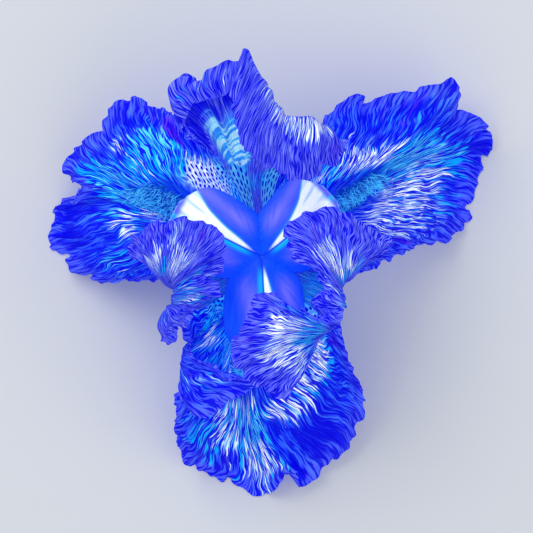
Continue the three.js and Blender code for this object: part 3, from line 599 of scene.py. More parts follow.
def petal_finish(name, ground, pale_colour, line_strength, lanes, dash_lanes, dash_rows):
    """Petal skin: ground colour with fine veins, then the streaks that the petal's marks call for, among
    them dark-blue streaks of painted shade.
    """
    material, paint, shader = new_material(name)
    place = paint.add("ShaderNodeUVMap", uv_map="petal")
    veins = paint.add("ShaderNodeGroup", node_tree=petal_veins)
    paint.feed(veins.inputs["Place"], place.outputs[0])
    veins.inputs["Lanes"].default_value = lanes
    veins.inputs["Dash Lanes"].default_value = dash_lanes
    veins.inputs["Dash Rows"].default_value = dash_rows

    def streaks(kind, zone, cover, soft):
        """Streaks that are longest and widest in the middle of a zone and taper out at its edge."""
        limit = paint.maths("MULTIPLY_ADD", zone, -cover, 1.02)
        return paint.ranged(paint.maths("SUBTRACT", veins.outputs[kind], limit), 0, soft)

    cyan, white, bands = paint.mark("cyan"), paint.mark("white"), paint.mark("bands")
    dotted = paint.ranged(paint.mark("dotted"), 0.1, 0.6)
    split = paint.add("ShaderNodeSeparateXYZ")
    paint.feed(split.inputs[0], place.outputs[0])
    margin = paint.ranged(split.outputs[1], 0.86, 1)
    network = paint.maths("MULTIPLY", veins.outputs["Network"], paint.mark("net"))
    fine = paint.ranged(veins.outputs["Fine"], 0.44, 0.57)
    between = paint.ranged(veins.outputs["Fine"], 0.40, 0.22)
    light = paint.maths("MAXIMUM", white, cyan)
    calm = paint.maths("SUBTRACT", 1, paint.maths("MINIMUM", paint.maths("MAXIMUM", dotted, bands), 1))
    fine = paint.maths("MULTIPLY", fine, paint.maths("MAXIMUM", calm, 0.3))
    layers = (
        (VEIN_BLUE, paint.ranged(veins.outputs["Third Streaks"], 0.45, 0.85), line_strength),
        (pale_colour, paint.ranged(veins.outputs["Second Streaks"], 0.45, 0.85), 0.85),
        (pale_colour, between, 0.5),
        (LAVENDER, paint.mark("back"), 0.5),
        (LAVENDER, margin, 0.45),
        (TEAL, paint.mark("bed"), 1),
        (PALE_CYAN, dotted, 0.65),
        (WHITE, paint.maths("MULTIPLY", dotted, white), 0.6),
        (VIOLET, streaks("Third Streaks", paint.mark("violet"), 0.75, 0.4), 0.5),
        # Painted shade: darker-blue streaks in the hollows and folds of the petal.
        (SHADE_AND_VEIN_BLUE, streaks("Third Streaks", paint.mark("painted_shade"), 0.9, 0.5), 0.9),
        (CYAN, streaks("Second Streaks", cyan, 0.68, 0.22), 1),
        (PALE_CYAN, streaks("Streaks", cyan, 0.5, 0.25), 0.8),
        (CYAN, paint.ranged(bands, 0.1, 0.9), 0.6),
        (PALE_CYAN, streaks("Bands", bands, 0.80, 0.7), 1),
        (WHITE, streaks("Bands", bands, 0.55, 0.6), 0.45),
        (PALE_LAVENDER, streaks("Streaks", white, 0.72, 0.35), 0.9),
        (PALE_CYAN, streaks("Streaks", white, 0.58, 0.25), 0.6),
        (WHITE, streaks("Streaks", white, 0.54, 0.3), 1),
        (PALE_LAVENDER, paint.ranged(network, 0, 0.6), 0.8),
        (WHITE, paint.ranged(network, 0.3, 1), 0.9),
        (VEIN_BLUE, fine, line_strength),
        (SHADE_AND_VEIN_BLUE, paint.maths("MULTIPLY", fine, light), 0.6),
        (DASH_BLUE, paint.maths("MULTIPLY", veins.outputs["Dashes"], dotted), 1),
    )
    colour = ground
    for shade, amount, strength in layers:
        colour = paint.over(colour, shade, paint.maths("MULTIPLY", amount, strength))
    glowing(paint, shader, colour, roughness=0.6, specular=0.06)
    ribs = paint.maths("MULTIPLY_ADD", veins.outputs["Fine"], 0.6, veins.outputs["Third Streaks"])
    paint.relief(shader, ribs, strength=0.8, distance=0.0008)
    return material


def petal_piece(node, finish, shaped, places, underside, back):
    """A petal's piece from its shaped sheet. underside is the share of the marks that shows through
    to the lower face, and back is how lavender that face is."""
    sheet, across, along = shaped
    marks = {}
    for key in MARKS:
        value = patches(across, along, places.get(key, []))
        marks[key] = (value, underside * value)
    marks["back"] = (0.0, back)
    thickness = PETAL_THICKNESS + (MARGIN_THICKNESS - PETAL_THICKNESS) * along**6
    mesh = closed_blade(f"{node}_petal", sheet, thickness, across, along, marks)
    new_piece(f"{node}_petal", mesh, finish, node)


FALL_GROUND = (0.004, 0.03, 0.93)
FALL_PALE = (0.05, 0.20, 1.0)
FALL_SEED = 100
fall_finish = petal_finish(
    "fall skin", FALL_GROUND, FALL_PALE, line_strength=0.9, lanes=80, dash_lanes=96, dash_rows=20
)
fall_sheets = {}
for order, (side, fall) in enumerate(FALLS.items()):
    shaped = petal_sheet(fall_veins, fall, FALL_SEED + 10 * order)
    fall_sheets[side] = shaped[0]
    petal_piece(f"fall_{side}", fall_finish, shaped, FALL_MARKS[side], underside=0.8, back=0.4)

# ---- standards -------------------------------------------------------------------------------
# The three standards rise in narrow claws between the falls, then open into domes that curl back
# over the heart of the flower. Their blue is paler than that of the falls, and their backs are
# lavender.

STANDARD_BASE_HEIGHT = 43
CLAW_SHARE = 0.3  # the part of each vein that lies in the claw

# claw: middle and end of its centre line, and its half widths at base, middle and end;
# veins: the points of each after the claw.
STANDARDS = {
  "north": {
    "bearing": 94,
    "claw": {"middle": [-1.4, 18, 49.5], "end": [-2.4, 29, 60], "halfWidths": [2.4, 4.4, 9]},
    "veins": [
      [[14, 36, 66], [23, 40.5, 67], [30.9, 41.5, 66]],
      [[14, 40, 71], [24, 44.5, 75], [28.6, 36.3, 70]],
      [[13, 42, 75], [20.5, 47.5, 81], [23, 40, 83.5], [22, 30.6, 76]],
      [[11, 43, 77], [16, 49, 83.5], [16.5, 39, 87.5], [16.3, 27.3, 79]],
      [[8, 44, 78], [10, 49, 84], [9, 41, 89.5], [8, 28.6, 81]],
      [[5, 46, 78.5], [5.5, 53, 84.5], [2, 46, 90.5], [-0.6, 33.4, 85]],
      [[3, 48, 79], [2.8, 58.5, 85], [-2, 51, 90.5], [-6.5, 38.5, 88]],
      [[0, 51, 79], [-1, 65, 84], [-6, 57, 89.5], [-9.5, 49, 89]],
      [[-3, 52, 78], [-6.2, 72.5, 82], [-8, 66, 87], [-11.2, 56.5, 88.5]],
      [[-6, 52, 77], [-8, 69, 81], [-9.5, 64, 84.5], [-10.6, 59.5, 84]],
      [[-9, 50, 75], [-13.2, 68.5, 81], [-14, 63, 84], [-13.6, 56.5, 83]],
      [[-12, 48, 73], [-18, 65.5, 80.5], [-19, 61, 82.5], [-17, 55.6, 81.5]],
      [[-14, 46, 72], [-20.3, 62, 79], [-22.5, 58.5, 80.5], [-21, 55, 79.5]],
      [[-15, 46, 71], [-27, 64.5, 78.5], [-28.5, 60, 80], [-24, 53, 78]],
      [[-16.5, 43, 69], [-32, 58.5, 75], [-30.5, 53, 76], [-26, 50.5, 75]],
      [[-16.5, 39.5, 66.5], [-30, 50, 70], [-27.8, 45, 68]],
      [[-15.5, 36, 63.5], [-21.5, 40.5, 65], [-25, 43, 65.5]],
    ],
    "ruffle": {"wavelength": 15, "height": 1, "phase": 0},
  },
  "west": {
    "bearing": 209,
    "claw": {"middle": [-15.5, -9.8, 49.5], "end": [-24, -14, 59], "halfWidths": [2.4, 4, 5]},
    "veins": [
      [[-32.5, -11, 64], [-37.5, -6, 64], [-41.5, -2.2, 63.5]],
      [[-33.5, -10, 67], [-40, -3, 68.5], [-46, 2, 64]],
      [[-33.8, -9.5, 70], [-40.5, -1, 72], [-47.3, 5.6, 66]],
      [[-33.8, -9, 72], [-39, 0, 75], [-43.5, 8.2, 69]],
      [[-33.5, -9, 74], [-37, 1, 77], [-39.5, 11, 71]],
      [[-33, -9, 75], [-34, 2, 79], [-34.5, 12.8, 72]],
      [[-32.5, -9, 76], [-30.5, 2, 80], [-28.2, 13.2, 74]],
      [[-32, -9.5, 76], [-27, 1, 80.5], [-22.5, 13, 74]],
      [[-31.5, -10, 76.5], [-24, -1, 80.5], [-15.8, 9.9, 75]],
      [[-31, -10.5, 76.5], [-22.5, -3, 80], [-13.4, 4.5, 75.5]],
      [[-31, -11, 76], [-22.5, -5, 79], [-13.4, -2.4, 75]],
      [[-31, -12, 75.5], [-25, -8, 77], [-18.5, -6.6, 74]],
      [[-31, -13, 75], [-24, -10.5, 76.5], [-15.3, -9.5, 73.5]],
      [[-31.5, -14, 74], [-24.5, -13.5, 75.5], [-16, -14.5, 72]],
      [[-32, -15.5, 73], [-27, -15.5, 75], [-20.5, -15, 72.5]],
      [[-32.5, -17, 72], [-29, -19, 73.5], [-23.5, -18.7, 71]],
      [[-33, -18.5, 70], [-32, -23, 71.5], [-28.4, -25, 69]],
      [[-33.5, -18.5, 67.5], [-35, -25, 68.5], [-31.4, -30.4, 66]],
      [[-32.5, -18, 64], [-36.5, -24, 64.5], [-35.5, -29.5, 63]],
    ],
    "ruffle": {"wavelength": 14, "height": 0.9, "phase": 2},
  },
  "east": {
    "bearing": -32,
    "claw": {"middle": [15, -9.5, 49.5], "end": [24, -14, 59], "halfWidths": [2.4, 5.2, 7.5]},
    "veins": [
      [[20, -28.5, 66], [15, -39.5, 65], [9.2, -50.4, 60]],
      [[21, -27.5, 68], [13.5, -37, 69], [3.5, -49, 62]],
      [[22, -27, 70], [10, -34, 73], [-3.5, -44, 65]],
      [[23, -26.5, 71], [8, -31, 75], [-9.4, -39.5, 68]],
      [[24, -26, 72], [8, -27, 76], [-10.2, -29, 70]],
      [[24.5, -25.5, 72.5], [9, -23.5, 76.5], [-4.5, -21, 71]],
      [[25, -25, 73], [11, -20.5, 76.5], [-2.4, -12.6, 71]],
      [[25.5, -24.5, 73], [15, -20.5, 75.5], [5, -15.8, 72]],
      [[26, -24, 72.5], [18.5, -22, 74.5], [12.3, -18.8, 71]],
      [[27, -23, 72.5], [22.5, -23.5, 73.5], [18, -23.8, 70.5]],
      [[28.5, -20.5, 73], [25, -20.5, 74], [21.5, -20.5, 71]],
      [[29, -18.5, 73.5], [24.5, -17, 75], [18.8, -17, 71]],
      [[29.3, -17, 74], [25, -13.5, 76], [20.5, -11.5, 72]],
      [[29.3, -15.5, 74.5], [25, -10.5, 77], [20, -6.5, 72.5]],
      [[29, -14, 75], [23, -6.5, 78], [16.2, -2.6, 73]],
      [[28.5, -13, 76], [20, -3.5, 79], [10.5, 0.5, 75]],
      [[28, -12, 76.5], [18.3, -1, 80], [7.9, 6, 75.5]],
      [[27.8, -10.5, 77], [19, 3, 80.5], [8.6, 11.5, 75]],
      [[27.8, -9.5, 77.5], [21, 5, 80.5], [14.5, 15.2, 74]],
      [[28.2, -8.5, 78], [24, 6.5, 80.5], [20, 16.2, 73.5]],
      [[29.2, -7.5, 78], [28, 7, 79.5], [25.2, 18, 73]],
      [[30.5, -6.5, 77], [32.5, 6.5, 77.5], [32, 13.6, 70.5]],
      [[31.5, -6, 75], [37, 4.5, 74.5], [39.2, 10.2, 68.5]],
      [[32, -6, 72], [40, 2.5, 70.5], [44.5, 6.8, 66]],
      [[32, -7, 69], [38.5, 0, 67.5], [46.5, 3.5, 63.5]],
      [[31, -8.5, 66], [35, -4, 65.5], [39, -1.2, 64]],
    ],
    "ruffle": {"wavelength": 15, "height": 1, "phase": 5},
  },
}


def standard_veins(standard, places):
    """Points of each vein at places from base (0) to margin (1), and the veins' knots across."""
    bearing = math.radians(standard["bearing"])
    base = [THROAT_RADIUS * math.cos(bearing), THROAT_RADIUS * math.sin(bearing), STANDARD_BASE_HEIGHT]
    aside = np.array([-math.sin(bearing), math.cos(bearing), 0])
    claw = standard["claw"]
    knots = chord_knots([points[-1] for points in standard["veins"]])
    veins = []
    for points, knot in zip(standard["veins"], knots):
        spread = 2 * knot - 1
        path = [
            np.array(centre) + aside * spread * claw["halfWidths"][row] + [0, 0, row * spread**2]
            for row, centre in enumerate([base, claw["middle"], claw["end"]])
        ]
        beyond = chord_knots([path[2], *points])[1:]
        at = [0, CLAW_SHARE / 2, CLAW_SHARE, *(CLAW_SHARE + (1 - CLAW_SHARE) * beyond)]
        veins.append(smooth_curve([*path, *points], at, places))
    return np.array(veins), knots


# Where each mark is strong on a standard, as patches; the dark-blue streaks are painted shade in hollows
# and folds.
STANDARD_MARKS = {
    "north": {
        "white": [
            (0.20, 0.75, 0.05, 0.07, 1.3), (0.29, 0.745, 0.06, 0.075, 1.3), (0.39, 0.745, 0.05, 0.07, 1.3),
            (0.48, 0.75, 0.04, 0.06, 1.2), (0.14, 0.79, 0.03, 0.06, 0.9), (0.56, 0.76, 0.04, 0.05, 1),
            (0.80, 0.92, 0.03, 0.05, 0.8), (0.73, 0.92, 0.03, 0.05, 0.6),
        ],
        "cyan": [(0.45, 0.27, 0.5, 0.07, 0.9), (0.80, 0.93, 0.08, 0.06, 0.6)],
        "violet": [
            (0.10, 0.93, 0.08, 0.06, 0.6), (0.30, 0.88, 0.2, 0.08, 0.4), (0.78, 0.70, 0.04, 0.04, 0.4),
        ],
        # painted shade: darker-blue streaks in the hollows and folds
        "painted_shade": [
            (0.85, 0.68, 0.14, 0.07, 1.3), (0.97, 0.80, 0.04, 0.2, 1.2), (0.60, 0.97, 0.04, 0.05, 0.5),
            (0.72, 0.80, 0.03, 0.14, 1),
        ],
        "dotted": [(0.16, 0.22, 0.18, 0.13, 1.3), (0.82, 0.24, 0.18, 0.13, 1.3)],
        "bands": [(0.77, 0.47, 0.19, 0.16, 1.3)],
    },
    "west": {
        "white": [
            (0.12, 0.74, 0.07, 0.07, 1.2), (0.20, 0.79, 0.04, 0.11, 1), (0.30, 0.86, 0.04, 0.14, 1),
            (0.28, 0.66, 0.04, 0.07, 0.9), (0.37, 0.69, 0.04, 0.11, 1.2), (0.42, 0.76, 0.03, 0.11, 1.1),
            (0.34, 0.75, 0.04, 0.08, 0.8), (0.60, 0.84, 0.03, 0.11, 1.2), (0.74, 0.82, 0.04, 0.1, 1.2),
            (0.53, 0.73, 0.04, 0.07, 0.8), (0.66, 0.77, 0.03, 0.08, 0.9), (0.87, 0.80, 0.03, 0.07, 0.9),
        ],
        "cyan": [
            (0.5, 0.2, 0.75, 0.12, 1.1), (0.70, 0.78, 0.12, 0.11, 0.9), (0.94, 0.72, 0.05, 0.1, 1),
            (0.75, 0.93, 0.04, 0.07, 1.1), (0.22, 0.71, 0.12, 0.08, 0.8), (0.58, 0.80, 0.05, 0.11, 0.9),
        ],
        "violet": [
            (0.25, 0.93, 0.10, 0.07, 0.8), (0.42, 0.92, 0.06, 0.07, 0.7), (0.90, 0.90, 0.05, 0.07, 0.6),
        ],
        # painted shade: darker-blue streaks in the hollows and folds
        "painted_shade": [
            (0.03, 0.85, 0.03, 0.15, 0.7), (0.50, 0.86, 0.05, 0.08, 0.8), (0.56, 0.93, 0.03, 0.08, 0.7),
            (0.67, 0.90, 0.03, 0.09, 0.7), (0.82, 0.88, 0.03, 0.09, 0.6), (0.06, 0.68, 0.03, 0.07, 0.5),
        ],
    },
    "east": {
        "white": [
            (0.04, 0.70, 0.06, 0.13, 1.2), (0.10, 0.74, 0.03, 0.13, 1.1), (0.14, 0.78, 0.03, 0.13, 1.1),
            (0.20, 0.72, 0.05, 0.14, 1.2), (0.24, 0.83, 0.03, 0.11, 1.2), (0.28, 0.74, 0.03, 0.13, 1),
            (0.55, 0.84, 0.03, 0.13, 1.2), (0.50, 0.76, 0.03, 0.08, 0.9), (0.70, 0.74, 0.05, 0.08, 1.1),
            (0.76, 0.66, 0.06, 0.08, 1.3), (0.83, 0.72, 0.03, 0.08, 1.1), (0.88, 0.66, 0.04, 0.07, 1),
            (0.75, 0.78, 0.03, 0.07, 0.9),
        ],
        "cyan": [
            (0.5, 0.2, 0.75, 0.12, 1.2), (0.12, 0.62, 0.15, 0.08, 1.1), (0.77, 0.62, 0.1, 0.1, 1.2),
            (0.90, 0.68, 0.05, 0.11, 0.8), (0.24, 0.66, 0.1, 0.11, 0.8), (0.52, 0.72, 0.08, 0.08, 0.8),
            (0.33, 0.80, 0.03, 0.16, 0.8),
        ],
        "violet": [
            (0.06, 0.78, 0.05, 0.10, 0.7), (0.72, 0.85, 0.05, 0.09, 0.7), (0.66, 0.80, 0.03, 0.09, 0.6),
            (0.85, 0.90, 0.08, 0.08, 0.6), (0.57, 0.80, 0.02, 0.09, 0.5), (0.22, 0.92, 0.08, 0.06, 0.5),
        ],
        # painted shade: darker-blue streaks in the hollows and folds
        "painted_shade": [
            (0.33, 0.75, 0.03, 0.11, 0.9), (0.48, 0.88, 0.03, 0.09, 0.7), (0.96, 0.80, 0.03, 0.15, 0.8),
            (0.10, 0.92, 0.06, 0.07, 0.5), (0.92, 0.80, 0.03, 0.07, 0.7),
        ],
    },
}

STANDARD_GROUND = (0.045, 0.075, 0.92)
STANDARD_PALE = (0.25, 0.32, 1.0)
STANDARD_SEED = 400
standard_finish = petal_finish(
    "standard skin", STANDARD_GROUND, STANDARD_PALE, line_strength=0.95,
    lanes=90, dash_lanes=14, dash_rows=26,
)
for order, (side, standard) in enumerate(STANDARDS.items()):
    shaped = petal_sheet(standard_veins, standard, STANDARD_SEED + 10 * order, ragged=0.28, frilled=1.25)
    petal_piece(
        f"standard_{side}", standard_finish, shaped, STANDARD_MARKS[side],
        underside=1, back=0.6,
    )

# ---- style arms ------------------------------------------------------------------------------
# Three broad smooth arms of the style start at the axis and roof the stamens and beards. On each,
# a white wedge of painted highlight widens towards the tip on one side of the crease, which is
# darkened with painted shade, with cyan along both its edges.

# bearing, swing to the left on the way out, length, and the side of the white wedge of painted highlight
# (+1 left).
STYLE_ARMS = {
    "northwest": (153.5, 0, 34.6, -1),
    "northeast": (35, 8, 32.4, 1),
    "south": (-87.5, 0, 34.6, 1),
}
STYLE_ARM_SLIT = 0.45
STYLE_ARM_THICKNESS = 0.8
ARM_SIDE_DROP = 6.2
ARM_HALF_WIDTH = np.array([
    [0, 0.85], [3, 6.1], [6.2, 11.5], [8.5, 12.9], [12.4, 13.7],
    [22, 14.4], [28, 13.2], [32, 8.8], [34.6, 3.6],
])  # distance along the arm, half width
ARM_RIDGE = np.array([[0, 57], [8, 60], [18, 61.5], [27, 60], [31.5, 58], [34.6, 60]])  # distance, height
ARM_ROWS, ARM_COLUMNS = 90, 91
STYLE_BLUE = (0.004, 0.09, 0.95)
STYLE_FIBRE = (0.0, 0.03, 0.8)
STYLE_VIOLET = (0.17, 0.17, 0.95)
STYLE_CYAN = (0.0, 0.5, 1.0)
# Painted shade along the crease and on the rim near the base.
STYLE_SHADE = (0.0, 0.0, 0.42)


def style_arm_sheet(bearing, swing, length):
    """The arched roof of one style arm, its distance along the longest arm and its place aside."""
    along = np.linspace(0, ARM_RIDGE[-1, 0], ARM_ROWS)
    share = (along / ARM_RIDGE[-1, 0])[:, None]
    angle = np.radians(bearing + swing * share)
    half = smooth_curve(ARM_HALF_WIDTH[:, 1:], ARM_HALF_WIDTH[:, 0], along)[:, 0]
    ridge = smooth_curve(ARM_RIDGE[:, 1:], ARM_RIDGE[:, 0], along)[:, 0]
    aside = np.linspace(-1, 1, ARM_COLUMNS)[None, :] * half[:, None]
    out = length * share + STYLE_ARM_SLIT + 0 * aside
    frill = 0.35 * np.sin(aside * 2.1) * step_between(26, 34, along)[:, None]
    drop = ARM_SIDE_DROP * (np.abs(aside) / ARM_HALF_WIDTH[:, 1].max()) ** 1.8
    crease = 0.5 * np.exp(-((aside / 0.7) ** 2)) * (1 - step_between(14, 30, along))[:, None]
    x = out * np.cos(angle) - aside * np.sin(angle)
    y = out * np.sin(angle) + aside * np.cos(angle)
    return np.stack([x, y, ridge[:, None] - drop - crease + frill], -1), along[:, None] + 0 * aside, aside


def style_marks(out, toward, half):
    """White (a painted highlight on the lit side of the crest), cyan, violet and dark (painted shade along
    the crease and on the rim near the base) marks; toward is the distance aside, positive on the white
    side.
    """
    # The white wedge is a painted highlight on the lit side of the crest.
    wedge = (0.22 + 0.04 * step_between(14, 24, out) + 0.08 * step_between(22, 31, out)) * out
    start = 0.15 - 5 * step_between(20, 31, out)
    white = step_between(start, start + 0.45, toward)
    white = white * (1 - step_between(wedge - 0.35, wedge + 0.35, toward))
    white *= step_between(2, 8, out) * (1 - step_between(32, 34, out))
    turn = toward / np.maximum(out, 4)
    streak = np.clip(patchy(turn * 26 + 20, out / 9, 77) * 2.2 - 0.9, 0, 1)
    tip = step_between(20, 29, out)
    highlight_tip = white * (1 - 0.75 * tip * streak)
    inner = (1 - step_between(0.6, 2.2 + 0.05 * out, -toward)) * step_between(0, 0.4, -toward)
    edge = np.exp(-(((toward - wedge) / 0.6) ** 2)) * step_between(5, 12, out)
    # Cyan is partly the arm's own streaks and partly a tint under the painted highlight.
    cyan = np.clip(0.9 * inner * step_between(2, 8, out) + 0.7 * edge + white * tip * streak, 0, 1)
    cyan = np.maximum(cyan, 0.55 * white)
    flank = np.abs(toward - 0.5 * wedge) / np.maximum(half, 1)
    violet = np.exp(-(((flank - 0.5) / 0.2) ** 2)) * step_between(4, 12, out)
    violet *= 0.45 + 0.7 * patchy(turn * 14 + 30, out / 7, 91)
    violet = np.maximum(violet, 0.9 * step_between(31.5, 34, out))
    rim = step_between(half - 0.5, half, np.abs(toward))
    # Painted shade: dark along the crease and on the rim near the base.
    dark = np.exp(-((toward / (0.16 + 0.008 * out)) ** 2)) * (1 - step_between(20, 30, out))
    dark = np.maximum(dark, 0.8 * rim * (1 - step_between(6, 11, out)))
    return {"white": (highlight_tip, 0.2), "cyan": (cyan, 0.5), "violet": (violet, 0.2), "dark": (dark, 0.0)}


def style_finish():
    """Smooth skin with faint fibres along the arm, then the arm's marks, among them a painted highlight
    and painted shade.
    """
    material, paint, shader = new_material("style skin")
    grain = paint.noise(paint.add("ShaderNodeTexCoord").outputs["Object"], detail=3, scale=900)
    strands = paint.add("ShaderNodeUVMap", uv_map="petal").outputs[0]
    fibres = paint.noise(paint.vectors("MULTIPLY", strands, (1.8, 0.12, 1)), detail=3)
    fibre = paint.ranged(fibres[0], 0.35, 0.7)
    colour = paint.over(STYLE_BLUE, STYLE_FIBRE, paint.maths("MULTIPLY", fibre, 0.5))
    # White is a painted highlight and dark is painted shade.
    for shade, mark in (
        (STYLE_VIOLET, "violet"), (STYLE_CYAN, "cyan"), (WHITE, "white"), (STYLE_SHADE, "dark")
    ):
        colour = paint.over(colour, shade, paint.mark(mark))
    glowing(paint, shader, colour, roughness=0.4, specular=0.12)
    paint.relief(shader, paint.maths("ADD", grain[0], fibre), strength=0.2, distance=0.0002)
    return material


style_skin = style_finish()
for side, (bearing, swing, length, white_side) in STYLE_ARMS.items():
    sheet, out, aside = style_arm_sheet(bearing, swing, length)
    half = np.abs(aside).max(axis=1, keepdims=True)
    marks = style_marks(out, aside * white_side, half)
    mesh = closed_blade(f"style_arm_{side}_roof", sheet, STYLE_ARM_THICKNESS, aside, out, marks)
    new_piece(f"style_arm_{side}_roof", mesh, style_skin, f"style_arm_{side}")

# ---- beards ----------------------------------------------------------------------------------
# A beard is a brush of soft teal hairs that grows out of the face of each fall along its midrib.
# The hairs are scattered over that strip of the fall and lean outwards and towards its tip.

# across is the place of the midrib across the fall; first and last are distances from the axis,
# and half is half the width of the strip.
BEARDS = {
    "west": {"across": 0.45, "first": 12, "last": 52, "half": 9.8},
    "south": {"across": 0.55, "first": 12, "last": 46, "half": 8},
    "east": {"across": 0.496, "first": 12, "last": 52, "half": 9.8},
}
HAIR_LENGTH = 5.2
HAIR_RADIUS = 0.36
HAIRS_PER_BEARD = 800
HAIR_DARK = (0.0, 0.02, 0.40)
HAIR_TEAL = (0.0, 0.14, 0.66)
HAIR_TIP = (0.10, 0.68, 1.0)
HAIR_SEED = 7
HAIR_SIZES = (0.5, 1.1)  # least and greatest scale of a hair
HAIR_STRAY = ((-0.9, -0.9, -0.35), (0.9, 0.9, 0.45))  # least and greatest turn aside
BED_ROWS, BED_COLUMNS = 40, 13
BED_LIFT = 0.2  # how far the bed lies above the middle of the fall


def beard_bed(side):
    """The strip of a fall that its beard grows on, with the lean of the hairs on each vertex."""
    fall, beard = FALLS[side], BEARDS[side]
    sheet = fall_sheets[side]
    normals = sheet_normals(sheet, 2)
    column = beard["across"] * (PETAL_COLUMNS - 1)
    columns, ranks = np.arange(PETAL_COLUMNS), np.arange(PETAL_ROWS)
    angle = math.radians(fall["bearing"])
    rib = np.array([[np.interp(column, columns, row[:, axis]) for axis in range(3)] for row in sheet])
    distance = rib[:, 0] * math.cos(angle) + rib[:, 1] * math.sin(angle)
    stations = np.linspace(beard["first"], beard["last"], BED_ROWS)
    offsets = np.linspace(-1, 1, BED_COLUMNS)
    verts, leans = [], []
    for i, station in enumerate(stations):
        share = i / (BED_ROWS - 1)
        half = beard["half"] * (0.5 + 0.5 * math.sin(math.pi * min(share, 0.5)) ** 0.6)
        half *= math.sqrt(1 - 0.8 * max(0, (share - 0.84) / 0.16) ** 2)
        at = np.interp(station, distance, ranks)
        low, part = int(at), at % 1
        row = sheet[low] * (1 - part) + sheet[min(low + 1, PETAL_ROWS - 1)] * part
        up = normals[low]
        ahead = rib[min(low + 2, PETAL_ROWS - 1)] - rib[low - 1]
        ahead /= np.linalg.norm(ahead)
        arc = arc_length(row)
        middle = np.interp(column, columns, arc)
        for offset in offsets:
            wanted = np.interp(middle + offset * half, arc, columns)
            point = [np.interp(wanted, columns, row[:, axis]) for axis in range(3)]
            normal = [np.interp(wanted, columns, up[:, axis]) for axis in range(3)]
            verts.append(np.array(point) + BED_LIFT * np.array(normal))
            left = np.cross(normal, ahead)
            leans.append(0.35 * ahead + 1.3 * offset * left * np.sign(np.dot(left, row[0] - row[-1])))
    faces = []
    for i in range(BED_ROWS - 1):
        for j in range(BED_COLUMNS - 1):
            a = i * BED_COLUMNS + j
            faces.append((a, a + BED_COLUMNS, a + BED_COLUMNS + 1, a + 1))
    mesh = bpy.data.meshes.new(f"beard_{side}_bed")
    mesh.from_pydata(((np.array(verts) + AXIS) * MM).tolist(), [], faces)
    lean = mesh.attributes.new("lean", "FLOAT_VECTOR", "POINT")
    lean.data.foreach_set("vector", np.array(leans, np.float32).ravel())
    return mesh


def hair_tree():
    """Geometry nodes: tapered three-sided hairs scattered over a bed."""
    tree = bpy.data.node_groups.new("beard hairs", "GeometryNodeTree")
    face = tree.interface
    face.new_socket("Bed", in_out="INPUT", socket_type="NodeSocketGeometry")
    sockets = {}
    for label, kind, value in (
        ("Density", "NodeSocketFloat", 1.0), ("Length", "NodeSocketFloat", HAIR_LENGTH * MM),
        ("Radius", "NodeSocketFloat", HAIR_RADIUS * MM), ("Seed", "NodeSocketInt", 1),
        ("Finish", "NodeSocketMaterial", None),
    ):
        sockets[label] = face.new_socket(label, in_out="INPUT", socket_type=kind)
        if value is not None:
            sockets[label].default_value = value
    face.new_socket("Hairs", in_out="OUTPUT", socket_type="NodeSocketGeometry")
    paint = Paint(tree)
    entry, leave = paint.add("NodeGroupInput"), paint.add("NodeGroupOutput")

    scatter = paint.add("GeometryNodeDistributePointsOnFaces")
    paint.feed(scatter.inputs["Mesh"], entry.outputs["Bed"])
    paint.feed(scatter.inputs["Density"], entry.outputs["Density"])
    paint.feed(scatter.inputs["Seed"], entry.outputs["Seed"])

    cone = paint.add("GeometryNodeMeshCone")
    cone.inputs["Vertices"].default_value = 3
    cone.inputs["Side Segments"].default_value = 2
    cone.inputs["Radius Top"].default_value = 0.0
    paint.feed(cone.inputs["Radius Bottom"], entry.outputs["Radius"])
    paint.feed(cone.inputs["Depth"], entry.outputs["Length"])
    parts = paint.add("ShaderNodeSeparateXYZ")
    paint.feed(parts.inputs[0], paint.add("GeometryNodeInputPosition").outputs[0])
    tip = paint.add("GeometryNodeStoreNamedAttribute", data_type="FLOAT", domain="POINT")
    tip.inputs["Name"].default_value = "tip"
    paint.feed(tip.inputs["Geometry"], cone.outputs["Mesh"])
    paint.feed(tip.inputs["Value"], paint.maths("DIVIDE", parts.outputs[2], entry.outputs["Length"]))

    lean = paint.add("GeometryNodeInputNamedAttribute", data_type="FLOAT_VECTOR")
    lean.inputs["Name"].default_value = "lean"
    stray = paint.add("FunctionNodeRandomValue", data_type="FLOAT_VECTOR")
    stray.inputs[0].default_value, stray.inputs[1].default_value = HAIR_STRAY
    paint.feed(stray.inputs["Seed"], entry.outputs["Seed"])
    leaning = paint.vectors("ADD", scatter.outputs["Normal"], lean.outputs[0])
    aim = paint.add("FunctionNodeAlignRotationToVector", axis="Z")
    paint.feed(aim.inputs["Vector"], paint.vectors("ADD", leaning, stray.outputs[0]))
    size = paint.add("FunctionNodeRandomValue", data_type="FLOAT")
    size.inputs[2].default_value, size.inputs[3].default_value = HAIR_SIZES
    paint.feed(size.inputs["Seed"], entry.outputs["Seed"])

    plant = paint.add("GeometryNodeInstanceOnPoints")
    paint.feed(plant.inputs["Points"], scatter.outputs["Points"])
    paint.feed(plant.inputs["Instance"], tip.outputs[0])
    paint.feed(plant.inputs["Rotation"], aim.outputs[0])
    paint.feed(plant.inputs["Scale"], size.outputs[1])
    shade = paint.add("FunctionNodeRandomValue", data_type="FLOAT")
    tone = paint.add("GeometryNodeStoreNamedAttribute", data_type="FLOAT", domain="INSTANCE")
    tone.inputs["Name"].default_value = "tone"
    paint.feed(tone.inputs["Geometry"], plant.outputs[0])
    paint.feed(tone.inputs["Value"], shade.outputs[1])
    real = paint.add("GeometryNodeRealizeInstances")
    paint.feed(real.inputs[0], tone.outputs[0])
    dress = paint.add("GeometryNodeSetMaterial")
    paint.feed(dress.inputs["Geometry"], real.outputs[0])
    paint.feed(dress.inputs["Material"], entry.outputs["Finish"])
    paint.feed(leave.inputs["Hairs"], dress.outputs[0])
    return tree, sockets


